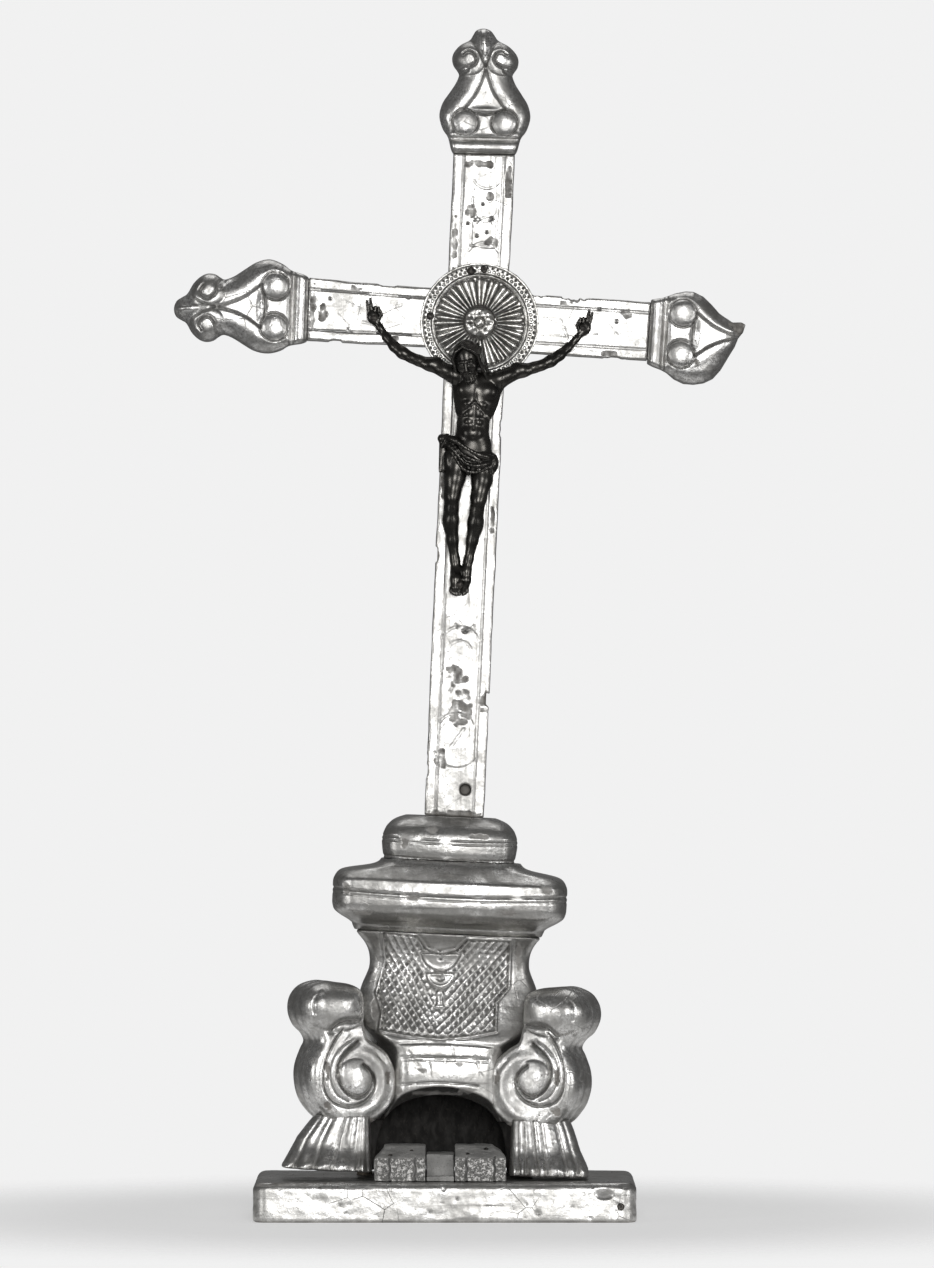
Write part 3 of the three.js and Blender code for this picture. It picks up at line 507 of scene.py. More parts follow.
def bronze(name):
    s = Net(name)
    cv, cav = s.attr("cv"), s.attr("cav")
    a, b, c = s.noise(150, 4, 0.6), s.noise(700, 4, 0.7), s.noise(1900, 2, 0.6)
    col = s.mix(s.ramp(a, 0.35, 0.65), (0.045, 0.043, 0.04), (0.085, 0.081, 0.074))
    hi = s.ramp(s.math("ADD", cv, s.math("MULTIPLY", s.math("SUBTRACT", b, 0.5), 0.9)), 0.2, 0.85)
    col = s.mix(s.math("MULTIPLY", hi, 0.8), col, (0.5, 0.48, 0.44))
    lo = s.ramp(s.math("MULTIPLY", s.math("ADD", cv, cav), -1.0), 0.1, 0.7)
    col = s.mix(s.math("MULTIPLY", lo, 0.7), col, (0.009, 0.009, 0.008))
    rough = s.math("ADD", s.blendf(hi, 0.27, 0.17), s.math("MULTIPLY", s.math("SUBTRACT", c, 0.5), 0.1))
    n = s.bump(s.math("ADD", s.math("MULTIPLY", b, 0.7), s.math("MULTIPLY", c, 0.3)), 0.16, 0.0002)
    return s.done(col, rough, 0.9, n)


def sheetmetal(name):
    s = Net(name)
    cv, cav = s.attr("cv"), s.attr("cav")
    a, b, c = s.noise(120, 4, 0.65), s.noise(520, 4, 0.7), s.noise(1800, 2, 0.6)
    col = s.mix(s.ramp(s.math("ADD", s.math("MULTIPLY", a, 0.5), s.math("MULTIPLY", b, 0.5)), 0.38, 0.62), (0.3, 0.29, 0.27), (0.78, 0.77, 0.74))
    lo = s.ramp(s.math("ADD", s.math("MULTIPLY", s.math("ADD", cv, s.math("MULTIPLY", cav, 0.5)), -1.0), s.math("MULTIPLY", s.math("SUBTRACT", b, 0.5), 0.7)), 0.02, 0.42)
    col = s.mix(s.math("MULTIPLY", lo, 0.9), col, (0.03, 0.028, 0.026))
    metal = s.math("SUBTRACT", 0.98, s.math("MULTIPLY", lo, 0.6))
    rough = s.math("ADD", s.blendf(lo, 0.3, 0.6), s.math("MULTIPLY", s.math("SUBTRACT", c, 0.5), 0.2))
    n = s.bump(s.math("ADD", b, s.math("MULTIPLY", c, 0.3)), 0.4, 0.0003)
    return s.done(col, rough, metal, n)


def iron(name):
    s = Net(name)
    a, b = s.noise(600, 4, 0.7), s.noise(2200, 3, 0.6)
    col = s.mix(s.ramp(a, 0.4, 0.62), (0.03, 0.028, 0.026), (0.12, 0.11, 0.1))
    n = s.bump(s.math("ADD", a, s.math("MULTIPLY", b, 0.4)), 0.5, 0.0004)
    return s.done(col, s.ramp(b, 0.3, 0.7, 0.38, 0.62), 0.75, n)


def distemper(name, speck):
    """Grey painted wood; speck adds worn silver grains."""
    s = Net(name)
    cv = s.attr("cv")
    a, b, c = s.noise(90, 4, 0.6), s.noise(480, 4, 0.7), s.noise(1300, 3, 0.7)
    col = s.mix(s.ramp(a, 0.35, 0.65), (0.2, 0.197, 0.19), (0.3, 0.295, 0.285))
    col = s.mix(s.ramp(c, 0.56, 0.7), col, (0.1, 0.098, 0.092))
    grains = s.math("MULTIPLY", s.ramp(s.math("ADD", s.math("MULTIPLY", b, 0.6), s.math("MULTIPLY", c, 0.4)), 0.49, 0.56), speck)
    col = s.mix(grains, s.mix(speck, col, (0.12, 0.118, 0.112)), (0.5, 0.49, 0.475))
    col = s.mix(s.ramp(s.math("MULTIPLY", cv, -1.0), 0.15, 0.6, 0, 0.85), col, (0.03, 0.03, 0.028))
    n = s.bump(s.math("ADD", b, c), 0.5, 0.0005)
    return s.done(col, s.blendf(grains, 0.8, 0.42), s.math("MULTIPLY", grains, 0.55), n)


SILVER_BOARD = silver("silver_leaf_boards", tarnish=0.28, grain=(1, 1, 0.035), worn=0.05, seed=0.31, hair=0.8, hollow_shade=0.15, crack=0.25)
SILVER_ARM = silver("silver_leaf_arm", tarnish=0.28, grain=(0.035, 1, 1), worn=0.05, seed=0.77, hair=0.8, hollow_shade=0.15, crack=0.25)
SILVER_CARVED = silver("silver_leaf_carving", tarnish=0.1, grain=(0.4, 1, 0.4), seed=1.1, hair=0.35, crack=0.5)
SILVER_BASE = silver("silver_leaf_pedestal", tarnish=0.35, grain=(0.05, 1, 1), worn=0.15, seed=1.9, hair=0.6, crack=0.5)
SILVER_CONSOLE = silver("silver_leaf_consoles", tarnish=0.2, grain=(0.3, 1, 0.3), seed=2.6, hair=0.35, crack=0.5)
SILVER_PLINTH = silver("silver_leaf_plinth", tarnish=0.25, grain=(0.03, 1, 1), worn=0.25, seed=3.3, hair=0.65)
WOOD_BACK = wood("aged_wood_vertical", (1, 1, 0.05))
# near-black wood standing in for the shade inside the niche and on the back board's inner face: painted shade
WOOD_SHADE_BLACK = wood("near_black_wood_painted_shade", (0.6, 0.6, 0.3), 0.055)
WOOD_PIN = wood("aged_wood_pins", (1, 1, 0.2), 1.2)
BRONZE = bronze("dark_cast_bronze")
SHEET = sheetmetal("pressed_silvered_sheet")
IRON = iron("hand_forged_iron")
BLOCK_MAT = distemper("painted_wall_front", 1.0)
BLOCK_TOP = distemper("painted_wall_top", 0.0)


def sample(G, a0, a1, x, z):
    """Reads a 2-D grid at points."""
    h0, h1 = a0[1] - a0[0], a1[1] - a1[0]
    i = np.clip(((x - a0[0]) / h0).round().astype(int), 0, len(a0) - 1)
    j = np.clip(((z - a1[0]) / h1).round().astype(int), 0, len(a1) - 1)
    return G[i, j]


def inv_mul(A, B):
    return A.inverted() @ B


# ------------------------------------------------------------------ finials
FIN_HALF = [(0, 16), (2.5, 17.2), (7, 18.3), (9.5, 19.2), (13, 21.6), (18, 23.3), (22, 23.4), (27, 21.9), (32, 18.8), (37, 15.6), (40.5, 14.1),
            (42.5, 13.9), (44.5, 15), (47, 16.6), (50.5, 17.1), (54, 15.8), (57.5, 12.6), (59.5, 9.2), (61, 7), (63, 5.8), (65.5, 4.2), (66.6, 2.4), (67, 0.6)]
FIN_BROKEN = [(16, 0), (17.2, 2.5), (18.6, 7), (20, 10), (23, 14), (25, 19), (25, 24), (24, 29), (21.5, 33.5), (17, 37), (12.5, 39.3), (9.2, 41), (5, 43.3),
              (0.6, 44.8), (-2.5, 47), (-6.6, 48), (-7.6, 46), (-7.3, 41.5), (-9.5, 37.5), (-11.3, 34.6), (-15.5, 30.5), (-19.3, 26), (-21.3, 21), (-21.3, 17),
              (-20, 12), (-18.6, 9), (-17, 5), (-16, 0)]


def finial(name, M, scale, mid, broken, seed):
    sx, st = 0.5 + scale / 2, scale
    v = Vol((-26, -13.2, -0.2), (26, 7.2, 67.6 * st), 0.42)
    x, t = v.ax[0][:, None] / f32(sx), v.ax[2][None, :] / f32(st)
    xm = x - np.interp(t, *mid).astype(f32)
    if broken:
        S = poly(np.array(FIN_BROKEN, float), x, t)
        xm = x + 0 * t
    else:
        half = np.array(FIN_HALF, float)
        dense = spline([(w, q) for q, w in half], 5)
        out = np.vstack([dense, (dense * [-1, 1])[::-1]])
        S = poly(out, xm, t)
    rough = noise2(v.ax[0], v.ax[2], 3.0, seed) * 0.14 + noise2(v.ax[0], v.ax[2], 9.0, seed + 1) * 0.3
    S = S + 0.22 * rough
    ax = np.abs(xm)
    body = step(7.6, 9.2, t)
    yf = -9.6 - 0.9 * gauss(ax, 12) * body + 0.0 * x
    # collar: a half-round band, a groove, then the plump body
    u = np.clip((t - 3.4) / 3.9, -1, 1)
    yf = np.where(t < 7.4, -7.6 - 2.4 * np.sqrt(1 - u * u), yf)
    yf = yf + 1.5 * gauss(t - 7.9, 0.6) + 0.9 * gauss(t - 8.2, 1.6)
    # sunk field between the two ribs
    side = spline([(0.0, 45.8), (2.2, 38), (5, 31.5), (8.6, 26), (11.5, 22.5)], 4)
    field = np.vstack([side, [(8, 21), (-8, 21)], (side * [-1, 1])[::-1]])
    fd = poly(field, xm, t)
    yf = yf + 1.5 * step(0.3, -0.9, fd)
    ds = np.minimum(line(side, ax, t), 99)
    yf = yf + 0.55 * gauss(ds, 0.5) - 0.5 * gauss(ds - 3.4, 3.0) * step(-0.2, 0.8, fd) * body
    # leaf base: groove and rise between the pearls
    yf = yf + 0.8 * gauss(line([(-5.2, 21.6), (0, 20.8), (5.2, 21.6)], xm, t), 0.7) - 0.9 * gauss(t - 23.2, 1.4) * gauss(ax, 6)
    # pearls
    r = np.hypot(ax - 10.3, t - 16.3)
    dome = -8.9 - 2.0 * np.sqrt(np.clip(1 - (r / 6.7) ** 2, 0, 1))
    yf = np.where(r < 6.6, dome, yf + 1.1 * gauss(r - 6.8, 0.6) * (r < 9))
    # outer curls and the tip leaf
    if not broken:
        c = np.hypot(ax - 8.6, t - 50)
        yf = yf - 1.5 * np.sqrt(np.clip(1 - (c / 8.6) ** 2, 0, 1)) * (t > 41)
        spir = spline([(13.6, 43.4), (11.2, 45.2), (8.6, 46.0), (5.9, 47.6), (4.6, 50.4), (5.8, 53.2), (8.6, 54.4), (11.2, 52.8)], 4)
        yf = yf + 1.5 * gauss(line(spir, ax, t), 0.75)
        vee = spline([(0.2, 46.5), (0.8, 49), (1.9, 52), (3.6, 55.4), (6.0, 58.2), (9.4, 60)], 4)
        leaf = poly(np.vstack([vee, [(9.4, 69), (-0.2, 69), (-0.2, 46)]]), ax, t)
        yf = yf + 1.6 * step(0.6, -0.8, leaf) + 0.9 * gauss(line(vee, ax, t), 0.6) - 1.3 * gauss(ax, 1.3) * step(0.5, -1.5, leaf)
        cleft = spline([(15.6, 41.6), (12.6, 42.6), (9.6, 44.2)], 4)
        yf = yf + 1.6 * gauss(line(cleft, ax, t), 0.9)
        raw2 = np.zeros_like(S)
    else:
        n = noise2(v.ax[0], v.ax[2], 1.3, seed + 5)
        scar = line([(-8.0, 48.0), (-7.2, 41.5), (-3.0, 45.0), (-6, 45.5)], x, t)
        raw2 = step(3.2, 1.6, scar + 0.7 * n)
        yf = yf + raw2 * (1.6 + 1.1 * n)
    yf = yf + 0.16 * rough
    R = 2.6 + 4.6 * step(8.0, 13, t)
    S3 = S[:, None, :]
    F = slab(v, S, yf, 7.0, R[:, None, :] if R.ndim == 2 else R, 1.6)
    v.join(F, k=0)
    hole = np.sqrt(v.X ** 2 + v.Y ** 2) - 3.3
    v.cut(np.maximum(hole, v.Z - 13) + 0 * v.F, k=0)
    v.F = np.maximum(v.F, -v.Z).astype(f32)

    def raw(P):
        return sample(raw2, v.ax[0], v.ax[2], P[:, 0], P[:, 2]) * (P[:, 1] < 4)
    return carve(name + "_carving", v, M, "cross", SILVER_CARVED, [name], raw)


finial("top_finial", M_TOPF, 0.94, ([0, 45, 66], [0, 0, -1.6]), False, 11)
finial("left_finial", M_LFIN, 1.0, ([0, 20, 45, 66], [0, 1.0, -0.4, -2.0]), False, 12)
finial("right_finial", M_RFIN, 1.0, ([0, 66], [0, 0]), True, 13)


# ------------------------------------------------------------------ the two boards
def blob(X, Z, cx, cz, rx, rz, n):
    return step(-0.05, 0.35, 1 - ((X - cx) / rx) ** 2 - ((Z - cz) / rz) ** 2 + 0.75 * n)


def upright():
    v = Vol((-16.6, -7.3, -38.5), (16.6, 7.3, 333.2), 0.5)
    x, z = v.ax[0][:, None], v.ax[2][None, :]
    half = 15.1 + 0.65 * np.clip(z, 0, 331.3) / 331.3
    n1 = noise2(v.ax[0], v.ax[2], (2.5, 6), 21)
    n2 = noise2(v.ax[0], v.ax[2], 1.3, 22)
    n3 = noise2(v.ax[0], v.ax[2], (9, 40), 23)
    S = np.maximum(np.abs(x) - half + 0.25 + 0.18 * n1 + 0.12 * n3, np.maximum(-z, z - 332.05 - 0.0244 * x))
    nick = blob(x, z, 14.6, 58.9, 3.0, 5.5, n2) * 1.5 + blob(x, z, 15.4, 196, 1.8, 4, n2) + blob(x, z, -15.4, 131, 1.6, 5, n2) + blob(x, z, -15.3, 24, 1.4, 7, n2)
    S = S + nick
    yf = -6.5 + 0.05 * n1 + 0.10 * n3 + 0 * x
    bx = half - 5.7
    groove = gauss(np.abs(x) - bx + 0.12 * n3, 0.34)
    keep = step(-1.5, -0.9, n3 + 0.3 * n2)
    yf = yf + np.where(x < 0, 0.55, 0.42) * groove * keep * (z < 331.6)
    flake = (blob(x, z, -2.7, 70.8, 5.5, 5, n2) + blob(x, z, -0.4, 52.3, 6.5, 6.5, n2) + blob(x, z, -8.3, 28, 2.6, 4.5, n2) + blob(x, z, 2.0, 60, 3.5, 3, n2)
             + blob(x, z, 12.9, 58.9, 2.6, 4.5, n2) + 0.8 * blob(x, z, -12.5, 168, 1.2, 9, n2) + 0.8 * blob(x, z, 12.4, 147, 1.0, 8, n2)
             + blob(x, z, 3.5, 311, 3.2, 2.0, n2) + blob(x, z, -5.5, 303, 2.4, 3, n2) + blob(x, z, 6, 288, 3, 2.4, n2) + blob(x, z, -12.8, 247 + 40, 1.4, 12, n2)
             + blob(x, z, 12.9, 318, 1.3, 8, n2) + blob(x, z, -2.4, 327, 7, 1.6, n2) + blob(x, z, 0, 1.2, 14, 1.3, n2))
    flake = np.clip(flake, 0, 1)
    rim = 4 * flake * (1 - flake)
    yf = yf + 0.2 * flake - 0.08 * rim + flake * 0.26 * n2
    peel = np.clip(0.35 * rim + flake * (0.34 + 0.55 * n2), 0, 1)
    for cx, cz, r, a0, a1 in [(-1, 85, 10, 20, 160), (-1, 82, 6, 25, 155), (-1, 42, 9.5, 25, 150), (0, 36, 12, 200, 330), (1, 98, 5, 200, 340), (1.9, 322, 7.2, 205, 335),
                              (1.9, 279, 8.6, 30, 150), (1.9, 296, 4.2, 20, 160), (1.9, 304, 5.6, 200, 340)]:
        a = np.radians(np.linspace(a0, a1, 14))
        yf = yf + 0.3 * gauss(line(np.stack([cx + r * np.cos(a), cz + r * np.sin(a)], 1), x, z), 0.4) * keep
    for a, b in [((-4.6, 286), (-4.6, 310)), ((8.0, 287), (8.0, 312)), ((-4, 286), (7, 285.4)), ((-1.2, 70), (-5, 62)), ((3, 44), (-3, 35))]:
        yf = yf + 0.3 * gauss(line([a, b], x, z) + 0.2 * n2, 0.4)
    for cx, cz, r in [(1.3, 93, 1.0), (-1.8, 291, 0.6), (5.4, 300, 0.7), (0.4, 307, 0.5), (-6.6, 297, 0.5), (-2.9, 299, 0.6), (3.1, 293, 0.5)]:
        yf = yf + 1.3 * gauss(np.hypot(x - cx, z - cz), r)
    R = 0.9 + 0.5 * np.clip(n1, 0, 1)
    F = slab(v, S, yf, 6.5, R[:, None, :], 0.9)
    v.join(F, k=0)
    # tenon
    d = np.maximum(np.maximum(np.abs(v.X) - 9, np.abs(v.Y) - 4.5), np.maximum(-38 - v.Z, v.Z - 0.5))
    v.join((d + 0 * v.F).astype(f32), k=0)
    # half-lap, peg hole and nail holes; the arm frame is turned a little
    A = np.array(inv_mul(T(0, 0, 248.7) @ RY(1.1), Matrix()))
    xa, za = A[0, 0] * v.X + A[0, 2] * v.Z + A[0, 3], A[2, 0] * v.X + A[2, 2] * v.Z + A[2, 3]
    v.cut((np.maximum(np.abs(za) - 15.5, v.Y - 0.2) + 0 * xa + 0 * v.F).astype(f32), k=0)
    v.cut((np.maximum(np.hypot(v.X - 5, v.Z - 13.6) - 2.75, v.Y - 0.5) + 0 * v.F).astype(f32), k=0.4)
    v.cut((np.hypot(v.X, v.Z - 248.7) - 2.8 + 0 * v.F).astype(f32), k=0)
    v.cut((np.maximum(np.hypot(v.X, v.Y) - 3.3, 317 - v.Z) + 0 * v.F).astype(f32), k=0)

    def raw(P):
        r = sample(peel, v.ax[0], v.ax[2], P[:, 0], P[:, 2]) * (P[:, 1] < -4.5)
        r = np.maximum(r, sample(np.clip(nick, 0, 1), v.ax[0], v.ax[2], P[:, 0], P[:, 2]) * 0.9)
        r = np.maximum(r, (P[:, 2] < 0.6) * 1.0)
        r = np.maximum(r, (np.hypot(P[:, 0] - 5, P[:, 2] - 13.6) < 2.95) & (P[:, 1] > -6.1))
        return np.maximum(r, np.clip(P[:, 1] - 5.4, 0, 1) * 0.9)
    return carve("upright_silvered_board", v, M_CAP, "cross", SILVER_BOARD, ["upright_board"], raw)


upright()


def arm():
    v = Vol((-85.9, -7.3, -16.8), (87.4, 7.3, 16.8), 0.5)
    x, z = v.ax[0][:, None], v.ax[2][None, :]
    half = 15 * np.where(x < -20, 1 + 0.065 * (-20 - x) / 64, 1.0)
    n1 = noise2(v.ax[0], v.ax[2], (6, 2.5), 31)
    n2 = noise2(v.ax[0], v.ax[2], 1.3, 32)
    n3 = noise2(v.ax[0], v.ax[2], (40, 9), 33)
    S = np.maximum(np.abs(z) - half + 0.25 + 0.18 * n1 + 0.12 * n3, np.maximum(-84.65 - 0.028 * z - x, x - 86.55))
    nick = blob(x, z, 50, 15.2, 7, 1.9, n2) * 1.6 + blob(x, z, -46, 15.3, 5, 1.2, n2) + blob(x, z, 71, -15.2, 5, 1.3, n2) + blob(x, z, -70, -15.6, 4, 1.2, n2) + blob(x, z, 31, 15.2, 3, 1.4, n2)
    S = S + nick
    yf = -6.5 + 0.05 * n1 + 0.10 * n3 + 0 * z
    keep = step(-1.5, -0.9, n3 + 0.3 * n2)
    yf = yf + 0.5 * gauss(np.abs(z) - (half - 5.7) + 0.12 * n3, 0.34) * keep
    flake = (blob(x, z, 52, 13.8, 6, 1.6, n2) + 0.6 * blob(x, z, 44, 11.6, 3, 0.9, n2) + blob(x, z, -62, 11.5, 3.5, 1.4, n2) + blob(x, z, 75, 8, 2.4, 2, n2) + blob(x, z, 68, -12.6, 4, 1.2, n2)
             + blob(x, z, -77, -2, 1.6, 4, n2) + blob(x, z, -40, -11.8, 4, 1, n2) + 0.7 * blob(x, z, 60, -3.5, 2.2, 1.2, n2) + blob(x, z, -82.5, 0, 1.2, 12, n2))
    flake = np.clip(flake, 0, 1)
    rim = 4 * flake * (1 - flake)
    yf = yf + 0.2 * flake - 0.08 * rim + flake * 0.26 * n2
    peel = np.clip(0.35 * rim + flake * (0.34 + 0.55 * n2), 0, 1)
    for a, b in [((-66, 5), (-58, 2)), ((-60, -4), (-49, -6)), ((-70, -1), (-64, -7)), ((42, 3), (46, -6)), ((57, 6), (64, 7.5)), ((-46, 3), (-38, 5)), ((66, 2), (72, -4))]:
        yf = yf + 0.24 * gauss(line([a, b], x, z) + 0.25 * n2, 0.35)
    for cx, cz, r in [(-64, -8.5, 0.5), (47, -9, 0.5), (70, 4, 0.6), (-35, 9, 0.5), (61, 9.5, 0.5), (-74, 6, 0.5)]:
        yf = yf + 1.0 * gauss(np.hypot(x - cx, z - cz), r)
    R = 0.9 + 0.5 * np.clip(n1, 0, 1)
    F = slab(v, S, yf, 6.5, R[:, None, :], 0.9)
    v.join(F, k=0)
    A = np.array(inv_mul(Matrix(), T(0, 0, 248.7) @ RY(1.1)))
    xc = A[0, 0] * v.X + A[0, 2] * v.Z
    v.cut((np.maximum(np.abs(xc) - 16.15, -0.2 - v.Y) + 0 * v.F).astype(f32), k=0)
    v.cut((np.hypot(v.X, v.Z) - 2.8 + 0 * v.F).astype(f32), k=0)
    for lo, hi in ((-90, -69.9), (71.8, 90)):
        v.cut((np.maximum(np.hypot(v.Y, v.Z) - 3.3, np.maximum(lo - v.X, v.X - hi)) + 0 * v.F).astype(f32), k=0)

    def raw(P):
        r = sample(peel, v.ax[0], v.ax[2], P[:, 0], P[:, 2]) * (P[:, 1] < -4.5)
        r = np.maximum(r, sample(np.clip(nick, 0, 1), v.ax[0], v.ax[2], P[:, 0], P[:, 2]) * 0.9)
        return np.maximum(r, np.clip(P[:, 1] - 5.4, 0, 1) * 0.9)
    return carve("arm_silvered_board", v, M_ARM, "cross", SILVER_ARM, ["arm_board"], raw)


arm()


# ------------------------------------------------------------------ rosette
def rosette():
    v = Vol((-31, -11.3, -31), (31, -6.6, 31), 0.27)
    x, z = v.ax[0][:, None], v.ax[2][None, :]
    r = np.hypot(x, z)
    a = np.arctan2(z, x)
    n1 = noise2(v.ax[0], v.ax[2], 7, 41)
    n2 = noise2(v.ax[0], v.ax[2], 1.2, 42)
    rs = np.random.RandomState(43)
    yf = -7.75 + 0.16 * n1 + 0.06 * n2 - 0.5 * gauss(r - 15, 9)
    # rays: forty raised drops, wider outward, each slightly different
    N = 40
    k = np.floor((a + np.pi) / (2 * np.pi) * N).astype(int) % N
    jit = rs.uniform(-0.07, 0.07, N)[k]
    ac = (k + 0.5) / N * 2 * np.pi - np.pi + jit * 0.35
    da = np.abs((a - ac + np.pi) % (2 * np.pi) - np.pi) * r
    end = 22.4 + rs.uniform(-0.7, 0.5, N)[k]
    hw = (0.42 + (r - 8) * 0.072) * (0.8 + 0.4 * rs.rand(N)[k])
    along = np.minimum(r - 8.6, end - r - hw)
    ray = np.clip(1 - (da / hw) ** 2 - np.where(along < 0, (along / np.maximum(hw, 0.3)) ** 2, 0), 0, 1)
    yf = yf - 1.15 * np.sqrt(ray) * (r > 7.6) * (r < 24)
    yf = yf + 0.45 * (1 - np.sqrt(ray)) * (r > 8.4) * (r < 22.6)
    # boss with a pip and a ring
    yf = np.where(r < 7.6, -8.3 - 2.0 * np.sqrt(np.clip(1 - (r / 7.6) ** 2, 0, 1)) + 0.25 * n2, yf)
    petal = np.abs(np.sin(a * 3.5 + 0.4))
    yf = yf + 0.55 * gauss(r - 4.4, 1.5) * (1 - petal) + 0.9 * gauss(r - 2.6, 0.5) + 0.8 * gauss(r - 8.0, 0.5)
    # line, dots and rim
    yf = yf - 0.4 * gauss(r - 23.6, 0.35) + 0.3 * gauss(r - 24.4, 0.3)
    for rad, num, ph, h in ((25.9, 66, 0.0, 0.85), (27.6, 66, 0.5, 0.5)):
        kk = np.round((a + np.pi) / (2 * np.pi) * num - ph)
        aa = (kk + ph) / num * 2 * np.pi - np.pi
        d = np.hypot(x - rad * np.cos(aa), z - rad * np.sin(aa))
        yf = yf + (1.1 if rad < 26.5 else 0.6) * gauss(d, 0.55)
    yf = yf - 0.25 * gauss(r - 29.2, 0.7) + 0.25 * gauss(r - 28.4, 0.3)
    S = r - 29.7 + 0.18 * n1 + 0.1 * n2
    v.join(slab(v, S, yf, -6.85, 0.3, 0.1), k=0)
    for cx, cz in ((-5.5, 25.5), (1.0, 26.5), (-24.8, 2.1)):
        v.cut((np.hypot(v.X - cx, v.Z - cz) - 0.9 + 0 * v.F).astype(f32), k=0)
    M = M_CAP @ T(0, 0, 248.7) @ RY(ROSETTE_TURN) @ T(1.6, 0, -1.0)
    return carve("rosette_sheet", v, M, "cross", SHEET, ["rosette"])


ROSETTE_TURN = 0.0
rosette()


# ------------------------------------------------------------------ pedestal body
def rows(table, z, smooth=2.2):
    """Interpolates a table's columns over z, slightly eased."""
    t = np.array(table, float)
    zz = np.linspace(t[0, 0] - 8, t[-1, 0] + 8, 900)
    k = np.exp(-0.5 * ((np.arange(-60, 61) * (zz[1] - zz[0])) / smooth) ** 2)
    k /= k.sum()
    return [np.interp(z, zz, np.convolve(np.pad(np.interp(zz, t[:, 0], t[:, c]), 60, mode="edge"), k, "valid")).astype(f32) for c in range(1, t.shape[1])]


BODY = [[20.7, 44, 2, 24, -2.4], [46.6, 44, 2, 24, -2.4], [47.2, 44, 2, 24, -26], [66, 44, 2, 24, -26], [84, 43, 1, 24.5, -26], [88, 42, -6, 33, -25],
        [92, 45.2, -13, 35, -23.6], [104, 45.6, -13.5, 35.4, -20], [110, 44.8, -12.8, 35.2, -18.8], [115, 43.0, -12.4, 35, -17.6], [119, 41.0, -12, 34.8, -17.0], [124, 39.6, -12.0, 34.6, -16.6], [131, 40.2, -13.2, 35.4, -17.6],
        [136.5, 43, -16, 38.4, -20.6], [140.5, 47.5, -20, 42.6, -25], [150, 49, -21, 44, -26]]
NICHE = [[-36, 10], [-34, 36], [-30, 48], [-23, 54.8], [-13, 58.6], [-2.6, 59.8], [8, 58.6], [18, 54.8], [25, 48], [29.5, 36], [31.5, 10]]
PANEL = [(-34.9, 141.5), (-15.9, 139.9), (-15.4, 139), (-10.8, 133.1), (-4.8, 131.2), (2.6, 132.9), (8, 138.5), (31, 137.9), (30.5, 113.5), (24.6, 106.4),
         (24.4, 91.9), (10, 88.8), (-3.9, 87.4), (-19, 88.6), (-34.9, 91.2), (-33.6, 100.2), (-36.8, 110.1), (-32.6, 126.1)]


